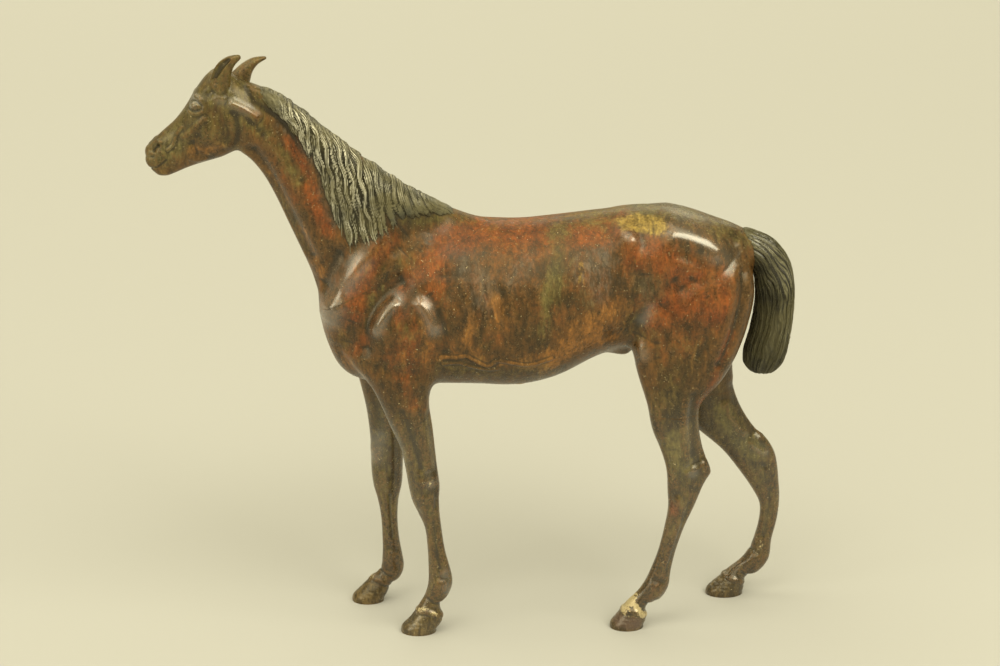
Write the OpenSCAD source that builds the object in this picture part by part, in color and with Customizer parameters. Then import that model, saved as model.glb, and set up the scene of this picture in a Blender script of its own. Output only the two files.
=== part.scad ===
// Bronze statuette of a standing horse, assembled from separately cast pieces.
// The master pattern is a set of lofted forms. It is sawn at flat joint planes, and each casting
// keeps its own side of the cut. Studs, tenons, pins and plugs hold the castings together.
// Left is -Y and the head points to -X. Drawing stations start under the withers.

/* [Figure] */
// Distance from the station under the withers to the middle of the length
withers_offset = 1.5; // [0:0.1:3]
// Half the greatest width of the barrel
barrel_half_width = 21; // [19:0.5:23]
// Distance of the left hooves from the middle plane
left_hoof_y = 12; // [11:0.5:14]
// Distance of the right hooves from the middle plane
right_hoof_y = 13; // [12:0.5:15]
// Sideways offset of the muzzle, because the head looks a little to the right
muzzle_turn = 2.5; // [0:0.5:4]

/* [Casting] */
// Thickness of the trunk's wall around the core
wall = 4; // [3.5:0.5:5]
// Height of the saw cut across the forelegs
foreleg_joint_z = 72; // [70:1:76]
// Height of the saw cut across the hind legs
hind_joint_z = 70; // [68:1:74]

/* [Fastenings] */
// Diameter of the tenon on each leg
leg_tenon_d = 5; // [4:0.5:5.5]
// Length of the tenon on each leg
leg_tenon_l = 8; // [6:0.5:9]
// Diameter of the studs between trunk and neck
neck_stud_d = 4; // [3:0.5:5]
// Length of the studs between trunk and neck
neck_stud_l = 16; // [12:1:20]
// Diameter of the dowel between neck and head
head_dowel_d = 3.5; // [3:0.5:4]
// Length of the dowel between neck and head
head_dowel_l = 12; // [8:1:14]
// Diameter of the tail's tenon
tail_tenon_d = 4; // [3:0.5:5]
// Length of the tail's tenon
tail_tenon_l = 8; // [6:0.5:9]
// Diameter of the peg under each ear
ear_peg_d = 1.4; // [1:0.1:1.6]
// Diameter of the rivets through the tenons
rivet_d = 1.6; // [1.2:0.1:2]
// Diameter of the plugs that fill the core pin holes
core_pin_d = 2.4; // [2:0.1:3]
// Diameter of the plug that closes the core vent
vent_plug_d = 6; // [5:0.5:7]
// Radial gap of a tenon, stud or peg in its socket
socket_gap = 0.05; // [0.02:0.01:0.1]

/* [Hidden] */
$fn = 32;

chestnut = [0.36, 0.17, 0.10];
dark_hair = [0.17, 0.17, 0.13];
raw_bronze = [0.62, 0.44, 0.22];
far = 300;              // larger than the whole figure
steps = 3;              // rings drawn for each station of a loft
trunk_ring = 24;        // points around a ring of the trunk, neck and head
limb_ring = 16;         // points around a ring of a leg or the tail

// A station is [x1, z1, x2, z2, half_width, y, widest, fullness]. The ring spans from point 1
// (top, crest, front or outer side) to point 2 (belly, throat, back or inner side). It is widest at
// the share "widest" of that span. A fullness of 2 is an ellipse, and more is squarer.
barrel = [
    [-45.5, 105.5, -44.8,  96.5,  3.5, 0, 0.50, 2.0],
    [-44.9, 110.0, -42.6,  90.0,  8.0, 0, 0.50, 2.0],
    [-42.0, 114.0, -39.6,  84.0, 11.5, 0, 0.48, 2.1],
    [-36.0, 118.0, -34.5,  80.3, 14.0, 0, 0.48, 2.1],
    [-26.0, 123.0, -26.0,  78.7, 16.0, 0, 0.50, 2.1],
    [-12.0, 128.5, -12.0,  78.5, 18.2, 0, 0.52, 2.1],
    [  2.0, 130.3,   2.0,  78.3, barrel_half_width - 0.7, 0, 0.53, 2.1],
    [ 15.0, 129.8,  15.0,  77.8, barrel_half_width, 0, 0.53, 2.1],
    [ 27.0, 130.8,  27.0,  80.5, barrel_half_width - 0.5, 0, 0.51, 2.1],
    [ 38.0, 132.0,  38.0,  86.1, 19.0, 0, 0.48, 2.1],
    [ 48.0, 133.3,  48.0,  89.5, 17.6, 0, 0.42, 2.1],
    [ 57.0, 133.5,  57.0,  91.5, 16.6, 0, 0.38, 2.1],
    [ 66.0, 131.8,  66.0,  93.5, 15.4, 0, 0.38, 2.1],
    [ 75.0, 129.3,  75.0,  95.5, 13.4, 0, 0.40, 2.1],
    [ 82.0, 126.2,  82.0,  98.5, 10.2, 0, 0.45, 2.0],
    [ 86.6, 118.0,  86.0, 104.5,  5.5, 0, 0.50, 2.0]];

neck_line = [
    [ 22.0, 122.5, -36.0,  92.5, 13.0, 0, 0.60, 2.0],
    [ 12.0, 128.5, -43.0,  99.5, 13.5, 0, 0.60, 2.0],
    [  1.0, 131.7, -45.8, 107.0, 12.8, 0, 0.60, 2.0],
    [-11.0, 136.9, -48.0, 114.5, 10.8, 0, 0.60, 2.0],
    [-23.0, 143.7, -51.2, 122.0,  9.2, 0, 0.60, 2.0],
    [-35.0, 153.2, -54.6, 130.0,  8.0, 0, 0.60, 2.0],
    [-45.5, 161.3, -58.1, 138.5,  7.2, 0, 0.60, 2.1],
    [-54.0, 168.0, -61.8, 145.7,  6.8, 0, 0.58, 2.1],
    [-61.0, 172.2, -66.0, 150.9,  6.4, 0, 0.55, 2.1],
    [-67.0, 174.3, -70.5, 154.0,  6.0, 0, 0.50, 2.1],
    [-72.0, 173.5, -74.0, 156.5,  4.5, 0.3, 0.50, 2.1]];

// The mane lies on the left of the neck, from the crest to the ends of its locks.
mane_line = [
    [-66.0, 174.6, -62.0, 168.0,  2.6, -2.6, 0.5, 2.6],
    [-58.0, 171.2, -53.5, 162.0,  4.0, -3.2, 0.5, 2.8],
    [-50.0, 165.6, -49.0, 152.0,  4.6, -3.6, 0.5, 3.0],
    [-41.0, 158.7, -46.0, 141.0,  5.0, -3.9, 0.5, 3.0],
    [-31.5, 151.2, -42.0, 129.5,  5.4, -4.2, 0.5, 3.0],
    [-22.0, 144.0, -36.0, 122.5,  5.8, -4.6, 0.5, 3.0],
    [-13.0, 138.8, -25.5, 128.0,  5.8, -5.0, 0.5, 2.8],
    [ -5.0, 133.6, -11.5, 130.0,  2.6, -3.4, 0.5, 2.2]];

head_line = [
    [-63.5, 172.0, -62.5, 156.5,  5.4, 0.0, 0.45, 2.1],
    [-68.5, 175.5, -66.0, 154.0,  6.2, 0.0, 0.42, 2.1],
    [-73.5, 178.5, -69.8, 152.7,  6.8, 0.2 * muzzle_turn, 0.38, 2.2],
    [-77.5, 176.5, -73.6, 150.9,  7.2, 0.3 * muzzle_turn, 0.40, 2.3],
    [-81.2, 171.7, -77.6, 149.7,  6.9, 0.4 * muzzle_turn, 0.36, 2.4],
    [-84.2, 166.7, -81.4, 148.5,  5.7, 0.5 * muzzle_turn, 0.36, 2.4],
    [-87.6, 162.3, -85.0, 147.1,  4.4, 0.6 * muzzle_turn, 0.45, 2.4],
    [-91.4, 158.9, -88.4, 145.5,  3.9, 0.75 * muzzle_turn, 0.50, 2.3],
    [-94.8, 155.5, -91.6, 144.7,  4.0, 0.9 * muzzle_turn, 0.45, 2.3],
    [-96.8, 152.9, -94.6, 146.1,  3.6, muzzle_turn, 0.45, 2.2],
    [-97.3, 151.1, -96.2, 148.5,  2.2, muzzle_turn, 0.50, 2.0]];

left_ear_line = [
    [-77.0, 174.7, -70.5, 171.5,  2.0, -3.6, 0.50, 2],
    [-75.9, 178.3, -70.4, 175.9,  2.3, -4.6, 0.50, 2],
    [-74.0, 181.3, -69.8, 178.9,  2.1, -5.4, 0.50, 2],
    [-71.0, 183.4, -68.8, 180.9,  1.5, -6.0, 0.50, 2],
    [-67.6, 184.0, -67.0, 182.7,  0.6, -6.4, 0.50, 2]];

right_ear_line = [
    [-72.6, 174.1, -66.0, 169.3,  2.0, 4.0, 0.50, 2],
    [-69.8, 176.3, -65.0, 172.7,  2.2, 5.0, 0.50, 2],
    [-67.2, 178.3, -64.2, 175.5,  2.0, 5.8, 0.50, 2],
    [-64.0, 179.8, -62.4, 177.8,  1.5, 6.4, 0.50, 2],
    [-60.0, 180.1, -59.8, 179.1,  0.6, 6.8, 0.50, 2]];

left_foreleg_line = [
    [-20.0, 122.5, -13.0, 120.5,  3.0,  -7.5, 0.5, 2.0],
    [-31.0, 114.5, -10.0, 112.5,  6.0,  -8.6, 0.5, 2.0],
    [-38.5, 104.5,  -8.5, 104.5,  7.8,  -9.2, 0.5, 2.0],
    [-39.5,  95.5,  -9.2,  96.5,  8.4,  -9.4, 0.5, 2.0],
    [-36.5,  87.5,  -9.6,  88.5,  7.8, -10.0, 0.5, 2.0],
    [-31.5,  82.0, -11.2,  82.0,  6.9, -10.4, 0.5, 2.0],
    [-27.8,  75.0, -12.4,  75.5,  6.0, -10.7, 0.5, 2.0],
    [-24.6,  67.5, -11.6,  68.0,  5.1, -11.0, 0.5, 2.0],
    [-21.6,  60.5, -10.8,  60.0,  4.3, -11.2, 0.5, 2.0],
    [-20.2,  54.0, -10.2,  54.0,  3.9, -11.3, 0.5, 2.1],
    [-19.2,  48.0,  -9.5,  48.5,  4.0, -11.4, 0.5, 2.3],
    [-18.2,  43.5,  -9.8,  44.0,  3.9, -11.4, 0.5, 2.3],
    [-16.2,  39.0,  -9.6,  39.5,  3.2, -11.5, 0.5, 2.1],
    [-14.3,  34.0,  -9.0,  34.0,  2.6, -11.5, 0.5, 2.0],
    [-13.6,  26.5,  -7.9,  26.5,  2.4, -11.6, 0.5, 2.0],
    [-13.4,  20.0,  -6.3,  20.5,  2.8, -11.7, 0.5, 2.0],
    [-13.5,  15.8,  -5.7,  15.8,  3.2, -11.8, 0.5, 2.1],
    [-14.6,  12.1,  -7.4,  11.4,  2.9, -left_hoof_y, 0.5, 2.0],
    [-16.0,   9.7,  -9.8,   9.1,  2.7, -left_hoof_y, 0.5, 2.0],
    [-17.4,   7.1,  -9.2,   6.5,  3.6, -left_hoof_y, 0.5, 2.1],
    [-19.6,   4.1,  -8.8,   3.7,  4.4, -left_hoof_y, 0.5, 2.1],
    [-22.1,   1.6, -10.4,   1.5,  4.9, -left_hoof_y, 0.5, 2.1],
    [-22.4,   0.0, -11.6,   0.0,  4.9, -left_hoof_y, 0.5, 2.1]];

right_foreleg_line = [
    [-20.0, 122.5, -13.0, 120.5,  3.0,   7.5, 0.5, 2.0],
    [-31.0, 114.5, -11.0, 112.5,  6.0,   8.6, 0.5, 2.0],
    [-38.5, 104.5, -10.5, 104.5,  7.8,   9.2, 0.5, 2.0],
    [-40.0,  95.5, -12.0,  96.5,  8.4,   9.4, 0.5, 2.0],
    [-37.5,  87.5, -14.0,  88.5,  7.8,  10.0, 0.5, 2.0],
    [-35.5,  80.5, -17.0,  80.5,  6.9,  10.4, 0.5, 2.0],
    [-33.5,  73.5, -18.3,  73.5,  6.0,  10.8, 0.5, 2.0],
    [-31.9,  66.5, -19.0,  66.5,  5.1,  11.2, 0.5, 2.0],
    [-30.9,  58.5, -19.6,  58.5,  4.3,  11.6, 0.5, 2.0],
    [-30.5,  51.5, -20.0,  51.5,  3.9,  12.0, 0.5, 2.1],
    [-30.4,  45.0, -20.3,  45.5,  4.0,  12.2, 0.5, 2.3],
    [-29.8,  39.5, -20.6,  40.0,  3.8,  12.4, 0.5, 2.3],
    [-28.5,  34.5, -21.7,  35.0,  3.1,  12.5, 0.5, 2.1],
    [-27.6,  28.5, -22.1,  28.5,  2.6,  12.6, 0.5, 2.0],
    [-27.3,  22.0, -21.7,  22.0,  2.4,  12.8, 0.5, 2.0],
    [-27.2,  16.0, -20.8,  16.0,  2.8, right_hoof_y, 0.5, 2.0],
    [-27.6,  11.5, -20.2,  11.1,  3.2, right_hoof_y, 0.5, 2.1],
    [-29.4,   9.1, -22.0,   6.9,  2.9, right_hoof_y, 0.5, 2.0],
    [-31.6,   7.3, -25.2,   5.7,  2.8, right_hoof_y, 0.5, 2.0],
    [-33.4,   5.3, -24.9,   4.5,  3.7, right_hoof_y, 0.5, 2.1],
    [-35.8,   2.9, -25.6,   2.5,  4.4, right_hoof_y, 0.5, 2.1],
    [-37.1,   1.4, -26.4,   1.2,  4.8, right_hoof_y, 0.5, 2.1],
    [-37.5,   0.0, -27.4,   0.0,  4.8, right_hoof_y, 0.5, 2.1]];

left_hind_line = [
    [ 60.0, 124.5,  72.0, 123.5,  3.5,  -5.0, 0.5, 2.0],
    [ 54.5, 117.5,  84.2, 118.5,  6.6,  -7.2, 0.5, 2.0],
    [ 51.0, 109.5,  87.2, 109.5,  8.6,  -8.4, 0.5, 2.1],
    [ 49.2,  99.5,  85.6,  99.5,  8.6,  -9.2, 0.5, 2.1],
    [ 49.2,  89.5,  82.3,  89.5,  7.9,  -9.8, 0.5, 2.1],
    [ 50.8,  82.0,  77.5,  80.5,  6.9, -10.2, 0.5, 2.1],
    [ 53.8,  73.5,  71.0,  73.5,  5.5, -10.6, 0.5, 2.0],
    [ 55.5,  65.5,  70.3,  66.5,  4.5, -10.9, 0.5, 2.0],
    [ 58.3,  58.5,  71.6,  59.0,  3.7, -11.1, 0.5, 2.0],
    [ 60.2,  52.0,  74.0,  51.5,  3.3, -11.3, 0.4, 2.2],
    [ 60.6,  46.0,  71.8,  46.5,  3.4, -11.4, 0.4, 2.3],
    [ 60.9,  39.5,  69.3,  40.0,  3.1, -11.5, 0.45, 2.2],
    [ 59.7,  32.5,  66.3,  33.0,  2.6, -11.6, 0.5, 2.0],
    [ 57.9,  25.0,  63.7,  25.0,  2.5, -11.8, 0.5, 2.0],
    [ 55.6,  18.7,  62.2,  18.2,  2.9, -left_hoof_y, 0.5, 2.0],
    [ 53.6,  14.3,  61.6,  13.3,  3.3, -left_hoof_y, 0.5, 2.1],
    [ 51.3,  11.3,  58.8,   8.9,  2.9, -left_hoof_y, 0.5, 2.0],
    [ 48.8,   8.8,  55.2,   7.6,  2.8, -left_hoof_y, 0.5, 2.0],
    [ 46.9,   6.3,  54.4,   5.9,  3.7, -left_hoof_y, 0.5, 2.1],
    [ 44.7,   3.3,  55.0,   3.3,  4.4, -left_hoof_y, 0.5, 2.1],
    [ 43.2,   1.5,  54.3,   1.4,  4.8, -left_hoof_y, 0.5, 2.1],
    [ 42.8,   0.0,  53.2,   0.0,  4.8, -left_hoof_y, 0.5, 2.1]];

right_hind_line = [
    [ 60.0, 124.5,  72.0, 123.5,  3.5,   5.0, 0.5, 2.0],
    [ 54.5, 117.5,  84.2, 118.5,  6.6,   7.2, 0.5, 2.0],
    [ 51.0, 109.5,  87.2, 109.5,  8.6,   8.4, 0.5, 2.1],
    [ 50.0,  99.5,  85.6,  99.5,  8.6,   9.2, 0.5, 2.1],
    [ 51.5,  89.5,  84.0,  89.5,  7.9,   9.8, 0.5, 2.1],
    [ 55.5,  79.5,  83.3,  80.5,  6.9,  10.2, 0.5, 2.1],
    [ 61.0,  69.5,  83.8,  72.5,  5.6,  10.6, 0.5, 2.0],
    [ 67.5,  61.0,  86.0,  65.5,  4.6,  10.9, 0.5, 2.0],
    [ 74.5,  54.7,  90.0,  58.5,  3.8,  11.1, 0.5, 2.0],
    [ 80.5,  49.3,  95.0,  52.5,  3.3,  11.4, 0.4, 2.2],
    [ 86.0,  42.1,  97.6,  47.1,  3.4,  11.6, 0.4, 2.3],
    [ 90.0,  36.1,  98.7,  39.1,  3.1,  11.8, 0.45, 2.2],
    [ 92.6,  30.7,  99.2,  32.5,  2.6,  12.0, 0.5, 2.0],
    [ 92.4,  24.5,  98.6,  25.3,  2.5,  12.2, 0.5, 2.0],
    [ 90.7,  17.5,  97.0,  18.1,  2.9, right_hoof_y - 0.5, 0.5, 2.0],
    [ 88.6,  13.1,  96.4,  11.9,  3.3, right_hoof_y - 0.5, 0.5, 2.1],
    [ 85.8,  10.5,  93.0,   7.1,  2.9, right_hoof_y - 0.5, 0.5, 2.0],
    [ 83.2,   8.5,  89.2,   5.9,  2.8, right_hoof_y - 0.5, 0.5, 2.0],
    [ 81.0,   6.1,  88.4,   4.7,  3.7, right_hoof_y - 0.5, 0.5, 2.1],
    [ 78.0,   3.5,  88.6,   2.7,  4.4, right_hoof_y - 0.5, 0.5, 2.1],
    [ 76.1,   1.6,  88.4,   1.3,  4.8, right_hoof_y - 0.5, 0.5, 2.1],
    [ 75.7,   0.0,  87.4,   0.0,  4.8, right_hoof_y - 0.5, 0.5, 2.1]];

tail_line = [
    [ 74.0, 127.5,  77.0, 116.5,  3.6, 0, 0.5, 2.0],
    [ 80.5, 127.4,  82.0, 115.5,  4.2, 0, 0.5, 2.0],
    [ 87.0, 125.6,  86.0, 114.0,  4.7, 0, 0.5, 2.1],
    [ 93.8, 121.9,  87.4, 110.9,  5.3, 0, 0.5, 2.2],
    [ 98.4, 115.3,  87.8, 106.9,  5.8, 0, 0.5, 2.3],
    [100.0, 106.9,  87.9, 102.8,  6.2, 0, 0.5, 2.3],
    [ 99.8,  97.5,  87.0,  95.9,  6.4, 0, 0.5, 2.3],
    [ 98.8,  89.5,  85.2,  88.9,  6.2, 0, 0.5, 2.3],
    [ 97.2,  83.1,  84.6,  83.1,  5.6, 0, 0.5, 2.3],
    [ 94.2,  79.5,  87.2,  79.7,  3.6, 0, 0.5, 2.1]];

// Joint planes: a point, and the angle of the plane's rise towards +X.
neck_joint = [-18, 118.5, 26.5];
head_joint = [-63.6, 161.5, 76.5];
tail_joint = [83, 120.5, -95];

// The core leaves a hollow inside the barrel, clear of the chest and the rump.
core_front = -6;
core_back = 64;
core_lift = 1.5;        // the core sits above the belly line, because the belly wall carries the vent

// Tenon axes of the legs, as [x, y], and the joint height of each.
leg_seats = [
    [-19.2, -10.9, foreleg_joint_z],
    [-25.8,  11.0, foreleg_joint_z],
    [ 63.0, -10.8, hind_joint_z],
    [ 73.5,  10.8, hind_joint_z]];

eyes = [[-81.2, 168.0, -4.1], [-81.2, 168.0, 5.9]];         // [x, z, y]
cheeks = [[-76.2, 160.5, -3.2], [-76.2, 160.5, 4.6]];
nostrils = [[-93.7, 153.6, -1.9], [-93.7, 153.6, 6.3]];
vent_x = 15;
// [x, z, y] of the outer ends of the core pins on the left; the right side has the same three.
core_pins = [
    [ 8, 102.5, barrel_half_width - 0.3],
    [30, 105.5, barrel_half_width - 0.9],
    [50, 115.0, 17.4]];
ear_seats = [[-73.4, 175, -4.2], [-68.6, 172, 4.8]];

// ---- lofts ----
function spline(a, b, c, d, t) =
    0.5 * (2 * b + (c - a) * t + (2 * a - 5 * b + 4 * c - d) * t * t
           + (3 * b - a - 3 * c + d) * t * t * t);

function stations(line) =
    let (last = len(line) - 1)
    [for (i = [0:last - 1], k = [0:steps - 1])
        spline(line[max(i - 1, 0)], line[i], line[i + 1], line[min(i + 2, last)], k / steps),
     line[last]];

function rounded(value, fullness) = sign(value) * pow(abs(value), 2 / fullness);

// 1 if a ring's points run clockwise seen along the way from the first station to the last, else -1
function winding(line) =
    let (a = line[0], b = line[len(line) - 1],
         way = [b[0] + b[2] - a[0] - a[2], b[1] + b[3] - a[1] - a[3]])
    way[0] * (a[1] - a[3]) > way[1] * (a[0] - a[2]) ? 1 : -1;

function ring(s, count, turn) =
    let (p1 = [s[0], s[1]], p2 = [s[2], s[3]], middle = p1 + s[6] * (p2 - p1))
    [for (i = [0:count - 1])
        let (u = rounded(cos(360 * i / count), s[7]),
             v = turn * rounded(sin(360 * i / count), s[7]),
             q = middle + (u > 0 ? u * (p1 - middle) : -u * (p2 - middle)))
        [q[0], s[5] + s[4] * v, q[1]]];

module loft(line, count) {
    rows = stations(line);
    rings = len(rows);
    turn = winding(line);
    points = [for (s = rows) each ring(s, count, turn)];
    sides = [for (r = [0:rings - 2], i = [0:count - 1])
        let (a = r * count + i, b = r * count + (i + 1) % count)
        each [[a, b, b + count], [a, b + count, a + count]]];
    front = [for (i = [1:count - 2]) [0, i + 1, i]];
    back_start = (rings - 1) * count;
    back = [for (i = [1:count - 2]) [back_start, back_start + i, back_start + i + 1]];
    polyhedron(points, concat(sides, front, back));
}

// The core: the barrel's own rings, drawn in by the wall.
function core_station(s) =
    [s[0], s[1] - wall, s[2], s[3] + wall + core_lift, s[4] - wall, s[5], s[6], s[7]];
core = [for (s = barrel) if (s[0] > core_front && s[0] < core_back) core_station(s)];

// ---- cutting ----
// Puts its children in a frame whose XY plane is the joint plane, with +Z on the upper side.
module at_joint(j) translate([j[0], 0, j[1]]) rotate([0, -j[2], 0]) children();

module above(j) at_joint(j) translate([-far / 2, -far / 2, 0]) cube(far);
module below(j) at_joint(j) translate([-far / 2, -far / 2, -far]) cube(far);
module under_height(z) translate([-far / 2, -far / 2, z - far]) cube(far);

// Joins lofts into one skin before any round hole is cut.
module one_skin() resize([0, 0, 0]) union() children();

// Puts a finished piece in the frame of the figure, with the origin under the middle of its length.
module placed(shade) color(shade) translate([-withers_offset, 0, 0]) children();

// A smooth swelling: a ball stretched to the three half sizes.
module swelling(at, half) translate([at[0], at[2], at[1]]) scale(half) sphere(r = 1, $fn = 20);

// ---- castings ----
module trunk() placed(chestnut) difference() {
    one_skin() {
        difference() {
            union() {
                loft(barrel, trunk_ring);
                difference() {
                    union() {
                        loft(neck_line, trunk_ring);
                        loft(mane_line, trunk_ring);
                    }
                    above(neck_joint);
                }
                swelling([46, 89, 0], [5.5, 3, 2.4]);
                difference() {
                    union() {
                        loft(left_foreleg_line, limb_ring);
                        loft(right_foreleg_line, limb_ring);
                    }
                    under_height(foreleg_joint_z);
                }
                difference() {
                    union() {
                        loft(left_hind_line, limb_ring);
                        loft(right_hind_line, limb_ring);
                    }
                    under_height(hind_joint_z);
                }
            }
            above(neck_joint);
            tail_seat();
        }
    }
    loft(core, trunk_ring);
    neck_stud_places(neck_stud_d + 2 * socket_gap);
    for (s = leg_seats) translate([s[0], s[1], s[2] - 1])
        cylinder(d = leg_tenon_d + 2 * socket_gap, h = leg_tenon_l + 1.2);
    at_joint(tail_joint) rotate([180, 0, 0]) translate([0, 0, -1])
        cylinder(d = tail_tenon_d + 2 * socket_gap, h = tail_tenon_l + 1.2);
    leg_rivet_places(rivet_d);
    tail_rivet_place(rivet_d);
    core_pin_places(core_pin_d);
    vent_place(vent_plug_d, 12);
}

// The hollow between the buttocks that takes the tail's root.
module tail_seat() intersection() {
    loft(tail_line, limb_ring);
    above(tail_joint);
}

module neck() placed(chestnut) difference() {
    one_skin() difference() {
        union() {
            loft(neck_line, trunk_ring);
            loft(barrel, trunk_ring);
            loft(mane_line, trunk_ring);
        }
        below(neck_joint);
        above(head_joint);
    }
    neck_stud_places(neck_stud_d + 2 * socket_gap);
    head_dowel_place(head_dowel_d + 2 * socket_gap, head_dowel_l);
}

module head() placed(chestnut) difference() {
    one_skin() difference() {
        union() {
            loft(head_line, trunk_ring);
            loft(neck_line, trunk_ring);
            loft(mane_line, trunk_ring);
            for (e = eyes) swelling(e, [1.5, 1.4, 1.3]);
            for (c = cheeks) swelling(c, [5.4, 3.8, 6.4]);
        }
        below(head_joint);
        loft(left_ear_line, limb_ring);
        loft(right_ear_line, limb_ring);
        for (n = nostrils) swelling(n, [1.3, 0.9, 0.9]);
    }
    head_dowel_place(head_dowel_d + 2 * socket_gap, head_dowel_l);
    for (e = ear_seats) ear_peg(e, ear_peg_d + 2 * socket_gap);
}

module ear(line, seat) placed(chestnut) union() {
    loft(line, limb_ring);
    ear_peg(seat, ear_peg_d);
}
module left_ear() ear(left_ear_line, ear_seats[0]);
module right_ear() ear(right_ear_line, ear_seats[1]);

module leg(line, seat) placed(chestnut) difference() {
    union() {
        one_skin() intersection() {
            loft(line, limb_ring);
            under_height(seat[2]);
        }
        translate([seat[0], seat[1], seat[2] - 1]) cylinder(d = leg_tenon_d, h = leg_tenon_l + 1);
    }
    leg_rivet_places(rivet_d);
}
module left_foreleg() leg(left_foreleg_line, leg_seats[0]);
module right_foreleg() leg(right_foreleg_line, leg_seats[1]);
module left_hind_leg() leg(left_hind_line, leg_seats[2]);
module right_hind_leg() leg(right_hind_line, leg_seats[3]);

module tail() placed(dark_hair) difference() {
    union() {
        one_skin() difference() {
            loft(tail_line, limb_ring);
            below(tail_joint);
        }
        at_joint(tail_joint) translate([0, 0, -tail_tenon_l]) cylinder(d = tail_tenon_d, h = tail_tenon_l + 1);
    }
    tail_rivet_place(rivet_d);
}

// ---- fastenings ----
module neck_stud_places(d) at_joint(neck_joint) for (x = [-9, 7])
    translate([x, 0, -neck_stud_l / 2]) cylinder(d = d, h = neck_stud_l);
module neck_studs() placed(raw_bronze) neck_stud_places(neck_stud_d);

module head_dowel_place(d, l) at_joint(head_joint) translate([0, 0, -l / 2]) cylinder(d = d, h = l);
module head_dowel() placed(raw_bronze) head_dowel_place(head_dowel_d, head_dowel_l - 0.2);

module ear_peg(seat, d) translate([seat[0], seat[2], seat[1]]) cylinder(d = d, h = 3);

rivet_l = 8;
module leg_rivet_places(d) for (s = leg_seats)
    translate([s[0], s[1], s[2] + leg_tenon_l / 2]) rotate([90, 0, 0])
        cylinder(d = d, h = rivet_l, center = true);
module leg_rivets() placed(raw_bronze) leg_rivet_places(rivet_d);

module tail_rivet_place(d) at_joint(tail_joint) translate([0, 0, -tail_tenon_l / 2])
    rotate([90, 0, 0]) cylinder(d = d, h = rivet_l, center = true);
module tail_rivet() placed(raw_bronze) tail_rivet_place(rivet_d);

// The plugs run from the core to the outside and are filed flush with the barrel.
module core_pin_places(d) for (p = core_pins, side = [-1, 1])
    translate([p[0], side * p[2], p[1]]) rotate([90 * side, 0, 0]) cylinder(d = d, h = wall);
module core_pin_plugs() placed(raw_bronze) core_pin_places(core_pin_d);

module vent_place(d, h) translate([vent_x, 0, barrel[7][3]]) cylinder(d = d, h = h);
module core_vent_plug() placed(raw_bronze) vent_place(vent_plug_d, wall);

trunk();
neck();
head();
left_ear();
right_ear();
left_foreleg();
right_foreleg();
left_hind_leg();
right_hind_leg();
tail();
neck_studs();
head_dowel();
leg_rivets();
tail_rivet();
core_vent_plug();
core_pin_plugs();
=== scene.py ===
import math

import bpy
import numpy as np
import openvdb as vdb
from mathutils import Matrix, Vector


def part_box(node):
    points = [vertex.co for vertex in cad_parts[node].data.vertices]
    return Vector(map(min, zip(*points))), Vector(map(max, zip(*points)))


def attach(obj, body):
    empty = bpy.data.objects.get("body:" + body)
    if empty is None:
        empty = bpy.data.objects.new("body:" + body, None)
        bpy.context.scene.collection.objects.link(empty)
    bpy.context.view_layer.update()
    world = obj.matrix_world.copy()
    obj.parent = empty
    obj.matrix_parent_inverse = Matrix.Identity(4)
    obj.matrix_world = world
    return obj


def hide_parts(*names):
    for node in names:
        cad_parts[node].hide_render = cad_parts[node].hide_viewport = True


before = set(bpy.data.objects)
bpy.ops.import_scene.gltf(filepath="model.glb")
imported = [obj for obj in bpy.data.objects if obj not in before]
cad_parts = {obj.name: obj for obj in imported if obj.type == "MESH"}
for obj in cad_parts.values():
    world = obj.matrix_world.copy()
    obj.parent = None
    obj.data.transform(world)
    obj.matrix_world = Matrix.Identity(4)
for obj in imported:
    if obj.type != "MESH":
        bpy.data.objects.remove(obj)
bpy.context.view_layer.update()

# All modelling is in millimetres, with X = 0 under the withers. SHIFT puts X back.
MM = 1000.0
TRUNK = np.array(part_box("trunk")) * MM
X0 = TRUNK[0][0] + 45.5  # withers, behind the foremost point of the trunk
SHIFT = np.array([X0, 0.0, 0.0])
BASE = 0.5  # voxel of the base form
BRIDGE = 0.25  # the joined castings are taken this far outside, which closes their joints
PAST = 1.2  # how far a casting's surface runs past its joints, to be cut there
SOLE = 1.0  # the hooves keep their outline from this height down
SHARP = 58  # degrees, edges sharper than this stay sharp
CASTINGS = ["trunk", "neck", "head", "left_foreleg", "right_foreleg", "left_hind_leg", "right_hind_leg"]
INSIDE = ["neck_studs", "head_dowel", "leg_rivets"]


# ---- volumes
def points(me):
    p = np.empty(len(me.vertices) * 3, np.float32)
    me.vertices.foreach_get("co", p)
    return p.reshape(-1, 3).astype(float)


def node_mesh(name):
    """Points in modelling millimetres and triangles of a CAD node."""
    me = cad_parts[name].data
    me.calc_loop_triangles()
    t = np.empty(len(me.loop_triangles) * 3, np.int32)
    me.loop_triangles.foreach_get("vertices", t)
    return points(me) * MM - SHIFT, t.reshape(-1, 3)


def joined(names):
    ps, ts, n = [], [], 0
    for name in names:
        p, t = node_mesh(name)
        ps.append(p)
        ts.append(t + n)
        n += len(p)
    return np.concatenate(ps), np.concatenate(ts)


def distance(p, faces, lo, shape, h, band):
    """Signed distance of a closed mesh on a dense grid, negative inside, cut off at band voxels."""
    kind = "quads" if faces.shape[1] == 4 else "triangles"
    g = vdb.FloatGrid.createLevelSetFromPolygons(
        np.ascontiguousarray(p, np.float32),
        transform=vdb.createLinearTransform(voxelSize=h),
        halfWidth=float(band), **{kind: np.ascontiguousarray(faces, np.uint32)})
    a = np.full(shape, band * h, np.float32)
    g.copyToArray(a, ijk=tuple(int(v) for v in lo))
    return a


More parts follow.
